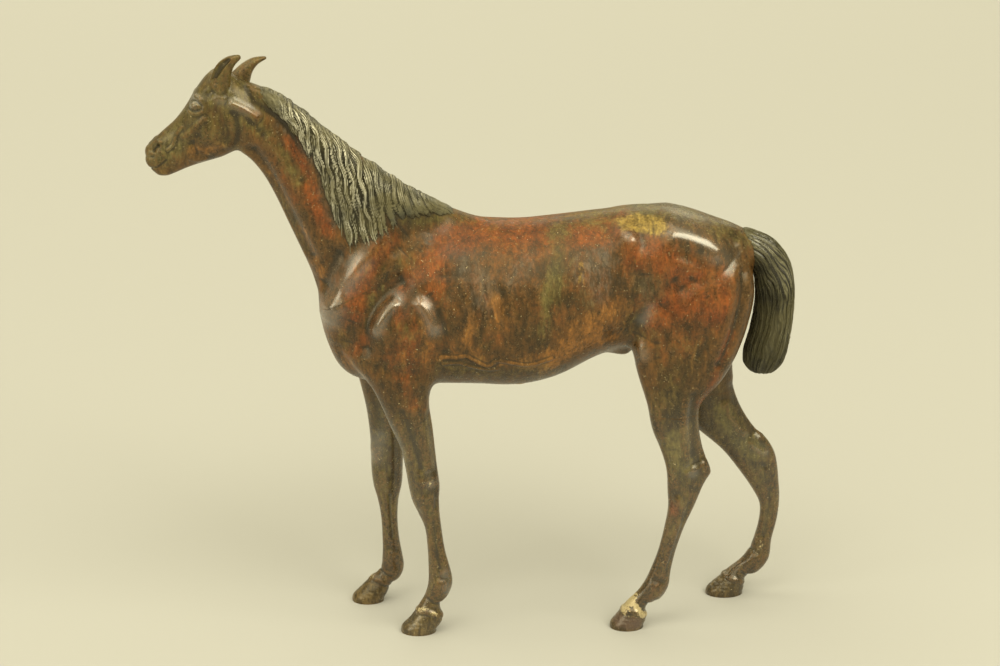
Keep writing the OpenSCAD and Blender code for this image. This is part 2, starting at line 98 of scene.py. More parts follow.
def surface(a, lo, h, level=0.0):
    """Quads where a distance grid has the level."""
    g = vdb.FloatGrid(3 * h)
    g.transform = vdb.createLinearTransform(voxelSize=h)
    g.copyFromArray(np.clip(a - level, -3 * h, 3 * h).astype(np.float32), ijk=tuple(int(v) for v in lo))
    g.gridClass = vdb.GridClass.LEVEL_SET
    p, q = g.convertToQuads(isovalue=0.0)
    return p.astype(np.float64), q[:, ::-1].astype(np.int64)


def blur(a, sigma):
    """Gaussian blur of a grid, sigma in voxels."""
    r = int(math.ceil(2.6 * sigma))
    k = np.exp(-0.5 * (np.arange(-r, r + 1) / sigma) ** 2)
    k = (k / k.sum()).astype(np.float32)
    for axis in range(3):
        pad = [(0, 0)] * 3
        pad[axis] = (r, r)
        b = np.pad(a, pad, mode="edge")
        out = np.zeros_like(a)
        for i, w in enumerate(k):
            s = [slice(None)] * 3
            s[axis] = slice(i, i + a.shape[axis])
            out += w * b[tuple(s)]
        a = out
    return a


def smooth(x, a, b):
    """0 below a, 1 above b and an even rise between."""
    t = np.clip((x - a) / (b - a), 0, 1)
    return t * t * (3 - 2 * t)


def weights(count, at):
    """Cubic B-spline weights that read a row of count samples at the places given."""
    m = np.zeros((len(at), count))
    i = np.floor(at).astype(int)
    f = at - i
    for k, w in ((-1, (1 - f) ** 3), (0, 3 * f**3 - 6 * f**2 + 4), (1, -3 * f**3 + 3 * f**2 + 3 * f + 1), (2, f**3)):
        np.add.at(m, (np.arange(len(at)), np.clip(i + k, 0, count - 1)), w / 6)
    return m


def block(a, lo, h, box, v):
    """The part of the grid inside box, read again at voxel v. Returns (grid, lowest index, axes)."""
    first = np.floor(np.array(box[0]) / v).astype(int)
    last = np.ceil(np.array(box[1]) / v).astype(int)
    axes = [np.arange(first[i], last[i] + 1) * v for i in range(3)]
    start = [max(0, int(axes[i][0] / h - lo[i]) - 3) for i in range(3)]
    out = a[tuple(slice(start[i], int(axes[i][-1] / h - lo[i]) + 4) for i in range(3))]
    for i in range(3):
        w = weights(out.shape[i], axes[i] / h - lo[i] - start[i]).astype(np.float32)
        out = np.moveaxis(np.tensordot(w, out, axes=(1, i)), 0, i)
    return np.ascontiguousarray(out), first, axes


# ---- the body's base form
LO = np.floor(np.array([-106, -30, -8]) / BASE).astype(int)
SHAPE = tuple(int(v) for v in np.array([216, 60, 204]) / BASE)
GX, GY, GZ = [((np.arange(SHAPE[i]) + LO[i]) * BASE).astype(np.float32) for i in range(3)]
X3, Y3, Z3 = np.ix_(GX, GY, GZ)

p, t = joined(CASTINGS + INSIDE)
body = distance(p, t, LO, SHAPE, BASE, 3)
# Closes the core, an oval between belly and back, or its wall would count as an outside.
BELLY = [(-12, 78.5), (2, 78.3), (15, 77.8), (27, 80.5), (38, 86.1), (48, 89.5), (57, 91.5), (66, 93.5)]
CORE_X, CORE_WIDE, CORE_TOP, OVER_BELLY = (-4, 62), 14.5, 128.0, 2.0
low = np.interp(X3, *zip(*BELLY)) + OVER_BELLY
core = (Y3 / CORE_WIDE) ** 2 + ((Z3 - (low + CORE_TOP) / 2) / ((CORE_TOP - low) / 2)) ** 2 < 1
core = core & (X3 > CORE_X[0]) & (X3 < CORE_X[1])
body = np.where(core, -np.abs(body), body)
p, q = surface(body, LO, BASE, BRIDGE)
body = distance(p, q, LO, SHAPE, BASE, 12) + BRIDGE


def melt(a, b, r):
    """Smooth union of two distances with a fillet of about r."""
    h = np.clip(0.5 + 0.5 * (b - a) / r, 0, 1)
    return b + (a - b) * h - r * h * (1 - h)


def capsule(ax, pts, radii):
    """Distance to a run of balls, on a block's axes."""
    x, y, z = np.ix_(*ax)
    out = None
    for k in range(len(pts) - 1):
        for t in np.linspace(0, 1, 7):
            c = [pts[k][i] * (1 - t) + pts[k + 1][i] * t for i in range(3)]
            r = radii[k] * (1 - t) + radii[k + 1] * t
            d = np.sqrt((x - c[0]) ** 2 + (y - c[1]) ** 2 + (z - c[2]) ** 2) - r
            out = d if out is None else np.minimum(out, d)
    return out


class Nodes:
    """Small helpers that put nodes into one material."""

    def __init__(self, name):
        self.material = bpy.data.materials.new(name)
        self.material.use_nodes = True
        self.tree = self.material.node_tree
        self.shader = self.tree.nodes["Principled BSDF"]
        self.where = self.tree.nodes.new("ShaderNodeTexCoord").outputs["Object"]

    def put(self, socket, value):
        if isinstance(value, bpy.types.NodeSocket):
            self.tree.links.new(value, socket)
        else:
            socket.default_value = value

    def new(self, kind, inputs, **settings):
        node = self.tree.nodes.new("ShaderNode" + kind)
        for key, value in settings.items():
            setattr(node, key, value)
        for key, value in inputs.items():
            self.put(node.inputs[key], value)
        return node

    def done(self, inputs):
        """Feeds the shader and returns the material."""
        for key, value in inputs.items():
            self.put(self.shader.inputs[key], value)
        return self.material

    def math(self, operation, a, b, clamp=False):
        return self.new("Math", {0: a, 1: b}, operation=operation, use_clamp=clamp).outputs[0]

    def add(self, a, b, clamp=False):
        return self.math("ADD", a, b, clamp)

    def sub(self, a, b):
        return self.math("SUBTRACT", a, b)

    def mul(self, a, b, clamp=False):
        return self.math("MULTIPLY", a, b, clamp)

    def vector(self, operation, a, b):
        return self.new("VectorMath", {0: a, 1: b}, operation=operation).outputs[0]

    def attribute(self, name, output="Fac"):
        return self.new("Attribute", {}, attribute_name=name).outputs[output]

    def noise(self, scale, detail=4, rough=0.55, distortion=0.0, at=None, seed=0.0):
        at = at or self.where
        if seed:
            at = self.vector("ADD", at, (seed, seed * 1.7, -seed))
        return self.new("TexNoise", {"Vector": at, "Scale": scale, "Detail": detail, "Roughness": rough,
                                     "Distortion": distortion}).outputs["Fac"]

    def ramp(self, value, lo, hi, out0=0.0, out1=1.0):
        ends = {"From Min": lo, "From Max": hi, "To Min": out0, "To Max": out1}
        return self.new("MapRange", {"Value": value, **ends}, interpolation_type="SMOOTHSTEP").outputs["Result"]

    def mix(self, amount, a, b):
        node = self.new("Mix", {0: amount}, data_type="RGBA")
        for place, value in ((6, a), (7, b)):
            self.put(node.inputs[place], value if isinstance(value, bpy.types.NodeSocket) else (*value, 1))
        return node.outputs[2]


def plain(name, color, rough, metal, scale, dark):
    """One colour, which a noise darkens down to the share dark."""
    m = Nodes(name)
    noise = m.new("TexNoise", {"Scale": scale}).outputs["Fac"]
    tone = m.mix(noise, [c * dark for c in color], color)
    return m.done({"Base Color": tone, "Roughness": rough, "Metallic": metal})


def painted_bronze(name, tail=False):
    """Old oil paint over dark bronze. The named attributes say where each colour lies."""
    m = Nodes(name)
    add, sub, mul, mix, ramp, noise, attribute = m.add, m.sub, m.mul, m.mix, m.ramp, m.noise, m.attribute
    drawn = m.vector("MULTIPLY", m.where, (1.25, 1, 0.5))  # brush marks run downwards
    broad, middle = noise(95, 6, 0.62, 0.4), noise(360, 5, 0.6, 0.3, at=drawn, seed=3)
    fine, grain = noise(1300, 4, 0.6, seed=7), noise(4200, 2, 0.5, seed=11)
    mottle = add(mul(broad, 0.42), add(mul(middle, 0.42), mul(fine, 0.16)))
    other = add(mul(noise(170, 5, 0.6, 0.8, at=drawn, seed=19), 0.6),
                mul(noise(800, 3, 0.55, at=drawn, seed=23), 0.4))
    ridge, swell, olive = attribute("ridge"), attribute("swell"), attribute("olive")

    def patch(key, pattern, spread, lo, hi):
        return ramp(add(attribute(key), mul(sub(pattern, 0.5), spread)), lo, hi)

    # brown ground, from near black to a warm brown
    color = mix(ramp(mottle, 0.36, 0.64), (0.034, 0.019, 0.007), (0.14, 0.066, 0.017))
    shade = mix(ramp(other, 0.4, 0.62), (0.015, 0.012, 0.005), (0.096, 0.068, 0.02))
    # where "dark" is high: the darker paint of the lower legs, muzzle and head, and painted shade where the "shade"
    # strokes lie
    color = mix(mul(attribute("dark"), 0.8), color, shade)
    grit = ramp(add(mul(noise(640, 4, 0.6, 0.6, at=drawn, seed=61), 0.6), mul(fine, 0.4)), 0.4, 0.6)
    # the colours, each thin over the bumps of the ground and never quite even
    for key, pattern, spread, lo, hi, amount, dull, bright in (
            ("purple", other, 2.8, 0.15, 1.3, 0.75, (0.07, 0.056, 0.046), (0.16, 0.132, 0.104)),
            ("rust", mottle, 2.8, 0.12, 1.25, 1, (0.15, 0.036, 0.008), (0.265, 0.07, 0.014)),
            ("orange", other, 3.4, 0.2, 1.3, 0.95, (0.17, 0.074, 0.016), (0.35, 0.145, 0.03)),
            ("olive", other, 3.0, 0.15, 1.35, 0.85, (0.074, 0.062, 0.018), (0.16, 0.134, 0.042)),
            ("gold", mottle, 3.6, 0.45, 1.1, 1, (0.22, 0.14, 0.03), (0.42, 0.29, 0.07))):
        cover = mul(patch(key, pattern, spread, lo, hi), add(mul(grit, amount * 0.45), amount * 0.55))
        color = mix(cover, color, mix(ramp(pattern, 0.4, 0.6), dull, bright))
    tone = ramp(noise(480, 5, 0.65, 1.2, at=drawn, seed=71), 0.34, 0.66, 0.68, 1.26)
    color = m.vector("MULTIPLY", color, m.new("CombineXYZ", {i: tone for i in range(3)}).outputs[0])
    # black dirt in small spots; darker in the hollows and grooves, dirt there and painted shade; and brown rubbed
    # through on the high places
    spots = ramp(noise(420, 4, 0.65, seed=31), 0.52, 0.66)
    color = mix(mul(spots, 0.35), color, (0.022, 0.017, 0.01))
    hollow_dirt_and_shade = add(ramp(ridge, -0.08, -0.7, 0, 0.7), ramp(swell, -0.15, -1.0, 0, 0.34), clamp=True)
    color = mix(hollow_dirt_and_shade, color, (0.018, 0.014, 0.009))
    worn = mul(add(ramp(ridge, 0.1, 0.6), ramp(swell, 0.15, 0.9), clamp=True), ramp(fine, 0.42, 0.6))
    color = mix(mul(worn, 0.55), color, (0.2, 0.11, 0.045))
    # hooves, and the cream flakes on them
    hoof = attribute("hoof")
    horn = mix(ramp(other, 0.42, 0.6), (0.045, 0.032, 0.014), (0.165, 0.112, 0.045))
    horn = mix(mul(patch("purple", other, 1.5, 0.3, 0.8), 0.7), horn, (0.13, 0.08, 0.07))
    color = mix(mul(hoof, 0.85), color, horn)
    cream = patch("cream", noise(1300, 5, 0.75, seed=41), 3.8, 0.5, 0.68)
    color = mix(cream, color, (0.52, 0.42, 0.23))
    # hair: black between the locks, silvery worn bronze on their backs
    hair, strand = attribute("hair"), attribute("strand", "Vector")
    streak = noise(1, 3, 0.5, at=m.vector("MULTIPLY", strand, (3.6, 0.3, 1)))
    backs = mul(ramp(ridge, -0.05, 0.45), ramp(streak, 0.44, 0.58, 0.04, 1))
    shine = ramp(noise(110, 3, 0.5, seed=53), 0.42, 0.58, 0.12, 1)
    if tail:
        shine = mul(shine, add(mul(olive, 0.75), 0.25))
        depth, worn_hair = ramp(ridge, -0.1, 0.6), (0.26, 0.245, 0.15)
        ground = mix(olive, (0.028, 0.027, 0.014), (0.11, 0.102, 0.055))
    else:
        shine = add(mul(shine, sub(1, mul(olive, 0.75))), attribute("purple"), clamp=True)
        depth, worn_hair = ramp(ridge, -0.5, 0.1), (0.8, 0.77, 0.62)
        ground = mix(ramp(broad, 0.4, 0.6), (0.092, 0.09, 0.06), (0.175, 0.16, 0.09))
    backs = mul(backs, shine)
    locks = mix(backs, mix(depth, (0.014, 0.014, 0.008), ground), worn_hair)
    locks = mix(mul(ramp(broad, 0.46, 0.62), 0.4), locks, (0.12, 0.105, 0.045))
    color = mix(hair, color, locks)
    # sparse pale specks of dust and chips
    cells = m.new("TexVoronoi", {"Vector": m.where, "Scale": 330.0}, feature="F1").outputs["Distance"]
    specks = mul(ramp(cells, 0.055, 0.035), ramp(middle, 0.66, 0.71, 0, 0.7))
    color = mix(specks, color, (0.52, 0.43, 0.24))
    # the varnish: less even over the bumps, and glossier where "matt" is negative
    matt = attribute("matt")
    rough = add(ramp(mottle, 0.35, 0.65, 0.24, 0.42), mul(sub(fine, 0.5), 0.25))
    rough = sub(rough, mul(hoof, 0.1))
    rough = add(rough, mul(matt, ramp(other, 0.4, 0.6, 0.1, 0.3)))
    gloss = mul(matt, -1.0, clamp=True)
    strands = noise(1, 2, 0.5, at=m.vector("MULTIPLY", strand, (5.5, 0.35, 1)))
    grains = add(mul(middle, 0.7), add(mul(fine, 0.35), mul(grain, 0.12)))
    height = add(mul(mul(strands, hair), 1.6), grains)
    bump = m.new("Bump", {"Strength": 0.6, "Distance": 0.0005, "Height": height})
    metal = add(mul(worn, 0.35), mul(hair, mul(backs, 0.3)), clamp=True)
    varnish = add(mul(gloss, 0.9), 0.07, clamp=True)
    return m.done({"Base Color": color, "Metallic": metal, "Roughness": rough, "IOR": 1.5,
                   "Specular Tint": (1, 0.88, 0.66, 1), "Coat Weight": varnish, "Coat IOR": 2.1,
                   "Coat Roughness": 0.2, "Normal": bump.outputs["Normal"]})


coat = painted_bronze("coat")
hair = painted_bronze("hair", tail=True)


def add(run, radii, blend):
    """Melts a run of balls into the body."""
    pts = np.array(run, float)
    lo = np.floor((pts.min(0) - max(radii) - 3) / BASE).astype(int) - LO
    hi = np.ceil((pts.max(0) + max(radii) + 3) / BASE).astype(int) - LO
    part = tuple(slice(lo[i], hi[i]) for i in range(3))
    d = capsule([GX[part[0]], GY[part[1]], GZ[part[2]]], run, radii)
    body[part] = melt(body[part], d.astype(np.float32), blend)


body = np.ascontiguousarray(body)
add([(70, 0, 121.6), (77, 0, 120.8), (83, 0, 119.4)], [7.6, 7.2, 6.6], 2)  # end of the croup, around the dock
add([(41.5, 0, 90.8), (46.2, 0, 88.2), (49, 0, 86.6)], [3.2, 3, 2.3], 1.5)  # sheath
add([(-74, -3.6, 173.6), (-73.6, -3.9, 174.9)], [2.9, 2.3], 1)  # ear bases
add([(-69.6, 3.8, 171), (-68.6, 4.4, 172.6)], [2.8, 2.2], 1)
soft = blur(body, 1.9 / BASE)
fine = blur(body, 0.6 / BASE)
w_body = smooth(Z3, 66, 84) * (1 - smooth(-X3, 50, 62)) * (1 - smooth(Z3, 150, 160))
body = soft * w_body + fine * (1 - w_body)
sole = int(round(SOLE / BASE)) - LO[2]
body[:, :, :sole] = body[:, :, sole:sole + 1]  # runs the hooves straight through the floor

p, t = node_mesh("tail")
tail = blur(distance(p, t, LO, SHAPE, BASE, 12), 0.7 / BASE)


# ---- sculpting
def normals(p, q):
    a, b, c, d = (p[q[:, i]] for i in range(4))
    n = np.cross(c - a, d - b)
    out = np.stack([np.bincount(q.ravel(), np.repeat(n[:, i], 4), len(p)) for i in range(3)], 1)
    return out / np.maximum(np.linalg.norm(out, axis=1), 1e-9)[:, None]


def curve(pts, n=6):
    """Catmull-Rom through the points."""
    c = np.array(pts, float)
    if len(c) < 3:
        return c
    c = np.vstack([2 * c[0] - c[1], c, 2 * c[-1] - c[-2]])
    out = []
    for i in range(1, len(c) - 2):
        for t in np.arange(n) / n:
            out.append(0.5 * (2 * c[i] + (c[i + 1] - c[i - 1]) * t
                              + (2 * c[i - 1] - 5 * c[i] + 4 * c[i + 1] - c[i + 2]) * t * t
                              + (3 * c[i] - c[i - 1] - 3 * c[i + 1] + c[i + 2]) * t**3))
    return np.array(out + [c[-2]])


def along(u, line):
    """Distance of the 2-D points to the line, the share of its length there, and the side, -1 or 1."""
    seg = np.diff(line, axis=0)
    length = np.maximum(np.linalg.norm(seg, axis=1), 1e-6)
    start = np.concatenate([[0], np.cumsum(length)])
    best = np.full(len(u), 1e9)
    share, side = np.zeros(len(u)), np.ones(len(u))
    for i in range(len(seg)):
        r = u - line[i]
        t = np.clip((r @ seg[i]) / length[i] ** 2, 0, 1)
        e = r - t[:, None] * seg[i]
        d = np.einsum("ij,ij->i", e, e)
        m = d < best
        best[m] = d[m]
        share[m] = ((start[i] + t * length[i]) / start[-1])[m]
        side[m] = np.sign(r[:, 0] * seg[i][1] - r[:, 1] * seg[i][0])[m]
    return np.sqrt(best), share, side


def facing(p, n, side):
    """How much a point belongs to the left (L), right (R) or both (B) flanks, or to all round (A).

    AL and AR go all round on one half, W takes both flanks and reaches round to the front.
    """
    if side == "A":
        return np.ones(len(p))
    if side in ("AL", "AR"):
        return ((p[:, 1] < 0) if side == "AL" else (p[:, 1] > 0)).astype(float)
    if side == "W":
        return smooth(np.abs(p[:, 1]), 0.5, 2.5) * smooth(np.abs(n[:, 1]), 0.0, 0.2)
    left = (p[:, 1] < 0) * smooth(-n[:, 1], 0.05, 0.45)
    right = (p[:, 1] > 0) * smooth(n[:, 1], 0.05, 0.45)
    return {"L": left, "R": right, "B": left + right}[side]


def length_of(line):
    return np.linalg.norm(np.diff(line, axis=0), axis=1).sum()


def around(u, line, reach):
    """Which of the 2-D points lie in the line's box, grown by reach."""
    return np.where(np.all((u > line.min(0) - reach) & (u < line.max(0) + reach), axis=1))[0]


def strokes(p, n, table, fading=True):
    """Adds up strokes drawn on the side view: side, height, radius, x, z, x, z and so on. No side means both flanks."""
    h = np.zeros(len(p))
    u = p[:, [0, 2]]
    for row in table:
        side, height, radius, *pts = row if isinstance(row[0], str) else ("B", *row)
        line = curve(np.reshape(pts, (-1, 2)))
        near = around(u, line, 3 * radius)
        if len(near) == 0:
            continue
        d, share, _ = along(u[near], line)
        run = length_of(line) / (1.3 * radius)
        fade = np.minimum(1, np.minimum(share, 1 - share) * run) if fading and run > 2 else 1
        h[near] += height * np.exp(-((d / radius) ** 2)) * fade * facing(p[near], n[near], side)
    return h


BODY = [
    # shoulder blade, point of the shoulder and the hollow in front of them
    ("W", 1.9, 3.6, -41.8, 101, -40.2, 106.2, -38, 111, -35.4, 115.6, -32.2, 120.2, -27, 126, -21, 131),
    ("W", 0.9, 3.4, -42.5, 102.5, -41.2, 105.5), ("W", -1.3, 2.4, -45.6, 109.5, -43.6, 115, -41, 120.5, -37.5, 125.5),
    ("W", -1.2, 2.8, -38, 92, -37.2, 99, -35, 106), (1, 2.8, -29.5, 113, -25, 119, -20.5, 124),
    # upper arm
    (-1.8, 2.8, -32, 91, -32, 98, -30.8, 105, -27, 110.5, -22, 114.6, -17.5, 117.2),
    (2.2, 7.6, -20, 100.5, -19.6, 99.5), (1.3, 1.9, -29.6, 98.5, -28.2, 102.4, -25.4, 106.8, -21.6, 110.4),
    (1.2, 1.9, -17.6, 110.6, -14.4, 108.2, -12.2, 104.4, -10.9, 99.5),
    (-0.9, 2.6, -14.5, 114.5, -10.5, 108.5, -8.4, 102, -7.8, 96, -9, 90.5),
    (-0.8, 2.6, -29, 90.5, -24, 88.2, -18, 87.2, -13.8, 87), (0.5, 2.6, -13, 119, -14.5, 124, -13, 129),
    (-0.7, 2.8, -8, 121, -7.5, 114, -8.5, 108), (0.9, 2.6, -12.6, 88, -12.4, 84),
    (-0.5, 1.4, -41.5, 95, -38.5, 90, -35, 85.5, -31.5, 82),
    # veins of the belly
    ("L", 0.5, 0.55, -10, 91.6, -7.8, 91.8, -4.8, 91.8, -1.8, 92.6, 0.2, 91.5, 2.7, 90, 5.2, 89,
     7.7, 91, 11.2, 90.5, 15.2, 89.5, 18.7, 89.5, 22, 90.5, 25, 91.5),
    ("L", 0.4, 0.5, -9, 89.3, -6.3, 89.8, -3.3, 89.8, 0.7, 88.5, 4.7, 87.7, 8.5, 88),
    ("R", 0.5, 0.55, -10, 91, -6.5, 92.2, -3, 91.4, 0.5, 92.4, 4, 90.4, 8, 89.4, 12, 91, 17, 89.8, 22, 91),
    # flank
    (-1, 4.6, 42.5, 124, 43.5, 114, 44.5, 105), (-0.7, 2.6, 40, 99, 44, 97.5, 48, 96),
    (-1.1, 3.6, 52.3, 121.5, 52.2, 114, 51.5, 107, 50.6, 100, 49.6, 96.5),
    # hip, croup and thigh
    (1.5, 2.6, 46.6, 127.4, 48, 127), (-0.4, 1.8, 51.6, 127.6, 51.8, 125.6),
    (-0.5, 3, 42.6, 130, 42, 126, 43.5, 122.8),
    ("A", 1.7, 4.2, 55, 128.4, 61.4, 128.2, 66, 127, 70.6, 124.2, 74, 120.8, 77, 117.4),
    (-0.6, 3, 58, 124, 64, 123, 70, 120.3, 74.5, 117), (0.5, 1.4, 80.6, 124.8, 82.3, 122, 83.2, 119),
    (-0.8, 2.8, 59, 117.6, 62.6, 113.8, 66.2, 109.6), (0.55, 2, 56.4, 118, 56.8, 112.5, 58.5, 107.5),
    (0.45, 2, 61, 120, 66, 118.2, 71.5, 116.4), (-0.4, 1.8, 66.8, 115, 67.6, 114.6),
    (1, 2.7, 58, 106.4, 55.6, 103.2, 53.4, 100, 51.8, 96.5), (1.2, 2.6, 52.4, 92.6, 52.6, 90.4),
    (-0.7, 2.4, 56, 98, 55.8, 92, 56.6, 87), (0.7, 1.8, 59.6, 91.6, 61, 93.8, 62.6, 95.6),
    (-1, 1.5, 82.6, 117.5, 82.2, 110, 80.8, 102, 78, 93, 74.5, 85.5),
    (0.4, 1.6, 78.6, 117, 78.8, 110, 77.2, 101, 74.2, 92), (-0.45, 2, 70.5, 112, 72, 104, 71, 96, 67.5, 89)]
RIBS = [(-1.2, 0.3), (3.1, 0.16), (7.5, 0.3), (11.8, 0.22), (16.2, 0.14), (20.6, 0.24), (25, 0.1), (29.4, 0.08)]
LEAN, BETWEEN = 0.25, 2.15  # slope of the ribs, and the gap behind each of them
for i, (x, rise) in enumerate(RIBS):
    top, low = 117.5 - 0.3 * i, 98.0 + 0.4 * i
    gap = x + BETWEEN
    BODY += [(rise, 1.4, x - LEAN * (top - 110), top, x + 0.3, 108, x - LEAN * (low - 110), low),
             (-0.10, 1.3, gap - LEAN * (top - 111), top - 1, gap - LEAN * (low - 109), low + 2)]

NECK = [
    (-1.1, 2, -66, 156.5, -61.7, 149.8, -57.5, 142, -53.8, 133.6, -50.2, 126, -46.8, 118.6),
    (0.45, 1.2, -68, 154.5, -63.4, 149.2, -60.2, 141.5, -56.8, 133, -53.2, 125.6, -49.6, 118.5),
    (0.6, 3, -62, 161, -56, 152, -51.5, 142, -47.5, 131, -43.6, 121), (-0.4, 1.8, -57, 158, -52.6, 150.5, -49.6, 143),
    (1, 1.3, -72, 169.6, -68.6, 168, -65, 165.8, -62, 163.4), (-0.5, 1.7, -67, 164.6, -63.5, 161.5, -60, 157.5)]

HEAD = [
    (0.55, 0.8, -84.4, 168.4, -83, 169.9, -80.8, 170.4, -78.8, 169.3), (0.45, 1.1, -81.6, 168, -81.2, 168),
    (-0.2, 0.5, -83.7, 167.2, -82.9, 168.6, -81.4, 169.3, -79.8, 168.7, -78.9, 167.6),
    (-0.17, 0.5, -83.7, 167.2, -82.2, 166.6, -80.4, 166.8, -78.9, 167.6),
    (0.3, 0.5, -83.9, 166.2, -82.2, 165.6, -80.2, 165.9, -78.6, 166.9), (-0.5, 1.3, -77.4, 171.6, -76.4, 172.4),
    (0.55, 0.9, -77.6, 165.2, -80.4, 162.6, -83.2, 159.8, -85.8, 157.4),
    (-0.35, 1.1, -79.6, 160.2, -82.4, 157.2, -84.6, 155), (0.5, 1.1, -76.5, 171, -73.6, 170.4, -71.2, 169.8),
    (-0.45, 1.5, -70.4, 167.4, -69, 163, -68.8, 158.6, -69.8, 155.4),
    (0.4, 1.2, -71.6, 165.8, -70.6, 161.4, -71, 157.2, -73.2, 154.2),
    (-0.4, 1, -82.8, 157.5, -81.6, 154.6, -80.6, 152), (0.4, 0.9, -84.5, 151.8, -81.2, 150.8, -77.8, 151.6),
    (-0.9, 0.62, -94.6, 152.6, -94.2, 153.8, -93.2, 154.8, -92.2, 154.6),
    (0.45, 0.55, -95.6, 153.4, -94.9, 155.2, -93.2, 156.2, -91.4, 155.6), (0.35, 0.9, -92.6, 153, -91.6, 152.4),
    ("A", -0.32, 0.8, -98.2, 151, -96.6, 151.2, -95, 151.6, -93.6, 151.4), ("A", 0.3, 1, -97.4, 153.4, -96.4, 153.6),
    ("A", 0.2, 1, -97, 149.2, -95.6, 148.8),
    ("A", -0.3, 0.4, -98, 147.6, -95.6, 147.6, -93.6, 148.2, -91.8, 149.4, -90.2, 150.9),
    ("A", 0.4, 1.1, -92.6, 146.2, -90.6, 146.4), (0.35, 0.9, -88.4, 152.6, -87.6, 150.6),
    (0.3, 0.4, -85.2, 161.6, -87.2, 158.6, -88.4, 155.4, -90.4, 153.4)]

# Each leg: its half, the four points of its coronet, and its fetlock.
LEGS = []
for side, coronet, (x, z) in (
        ("AL", [(-18, 5.9), (-14.5, 6.5), (-11, 5.2), (-8, 3.6)], (-9.6, 15.5)),
        ("AR", [(-33.4, 6.3), (-30, 6.9), (-27, 5.6), (-24, 4)], (-24.2, 15)),
        ("AL", [(46, 4.6), (49.6, 5.3), (52.8, 4), (55.6, 2.6)], (58, 13)),
        ("AR", [(78.8, 5.8), (82.4, 5.5), (85.8, 4.2), (88.8, 2.6)], (91.2, 12))):
    front, back = coronet[0][0], coronet[3][0]
    LEGS += [(side, -0.10, 0.40, *np.ravel(coronet)),
             (side, 0.34, 0.75, *np.ravel([(a + 0.25, b + 0.95) for a, b in coronet])),
             (side, -0.3, 0.5, x - 4.5, z - 3.6, x - 2.2, z - 5.4, x + 0.6, z - 6.2),
             (side, 0.5, 1.9, x - 0.4, z - 0.6, x, z + 0.4),
             (side, -0.25, 1.0, x - 0.8, z + 3.4, x + 1.2, z + 2.8),
             (side, -0.2, 0.7, x - 2.6, z - 3.4, x - 1.0, z - 4.2, x + 0.4, z - 3.6),
             (side, -0.07, 0.3, front - 1.2, 4.6, back - 0.6, 2.6),
             (side, -0.07, 0.3, front - 1.2 - 1.1, 4.6 - 1.2, back - 0.6 - 0.5, 2.6 - 0.9)]
LEGS += [(side, *row) for side, rows in (
    # near fore: forearm, knee, cannon
    ("L", [
        (-0.52, 1.5, -21.4, 76, -19, 68, -16.6, 60, -15.4, 53.5),
        (0.5, 1.6, -17.6, 76, -15.8, 68, -14.2, 60, -13.2, 54),
        (-0.34, 1.4, -13.4, 74, -12.2, 66, -11.4, 58, -11, 52), (0.4, 1.4, -23.5, 72, -20.2, 64, -18, 57),
        (0.6, 2, -15.4, 50.4, -13, 50.8), (0.6, 2, -14.4, 45, -13.8, 41.6),
        (-0.41, 0.94, -11.2, 49.4, -10.8, 45, -11, 40.8), (-0.22, 1.1, -17.2, 45.6, -16.4, 41.8, -15.6, 38.8),
        (-0.34, 0.81, -11.8, 38, -11.2, 32, -10.6, 26, -9.8, 20.6),
        (0.3, 0.8, -13.4, 36, -12.8, 30, -12.2, 24)]),
    # far fore
    ("AR", [
        (-0.45, 1.5, -30, 76, -28, 66, -27.4, 56), (0.5, 1.8, -28.6, 52, -28, 49),
        (0.5, 1.9, -27, 44, -26.4, 41), (-0.34, 0.81, -24.8, 38, -24.6, 30, -24, 21)]),
    # near hind: gaskin, hock, cannon
    ("L", [
        (-0.6, 1.6, 68.4, 80, 67.4, 72, 67.6, 64, 68.6, 57, 69.6, 53),
        (0.6, 1.5, 65.4, 78, 64.8, 70, 65.2, 62, 66.4, 55.5),
        (-0.45, 1.9, 60, 80, 59.6, 72, 60.8, 64, 62.2, 57), (0.5, 1.7, 57, 76, 57.6, 69, 59.2, 61),
        (0.7, 1.5, 71.6, 54, 72.8, 51.6), (0.5, 1.3, 66.4, 51.6, 68.2, 52.8),
        (-0.38, 1.2, 66.6, 48.4, 68.8, 46.4, 71, 46), (0.5, 1.8, 62, 52.4, 62.4, 49),
        (-0.3, 1.2, 61.4, 46, 63.4, 45.2, 65.6, 45.8), (0.45, 1.4, 63.6, 42, 64.2, 39.6),
        (-0.38, 0.94, 67.6, 43, 66, 37, 64, 30, 62, 23, 60.6, 18.6), (0.3, 0.9, 64.6, 36, 62.4, 29, 60.2, 22)]),
    # far hind
    ("AR", [
        (-0.6, 1.8, 82, 74, 85, 66, 88.6, 59, 92, 54), (0.6, 1.6, 79, 68, 83, 60.4, 87, 54.4),
        (0.6, 1.7, 89, 52, 92.4, 49.4), (-0.38, 1.2, 92, 46.5, 94.8, 43.4),
        (-0.3, 1.4, 86, 50, 89, 46, 91.4, 42.6), (-0.34, 0.94, 95.6, 38, 95.4, 31, 94.6, 24, 93.6, 19)])
) for row in rows]


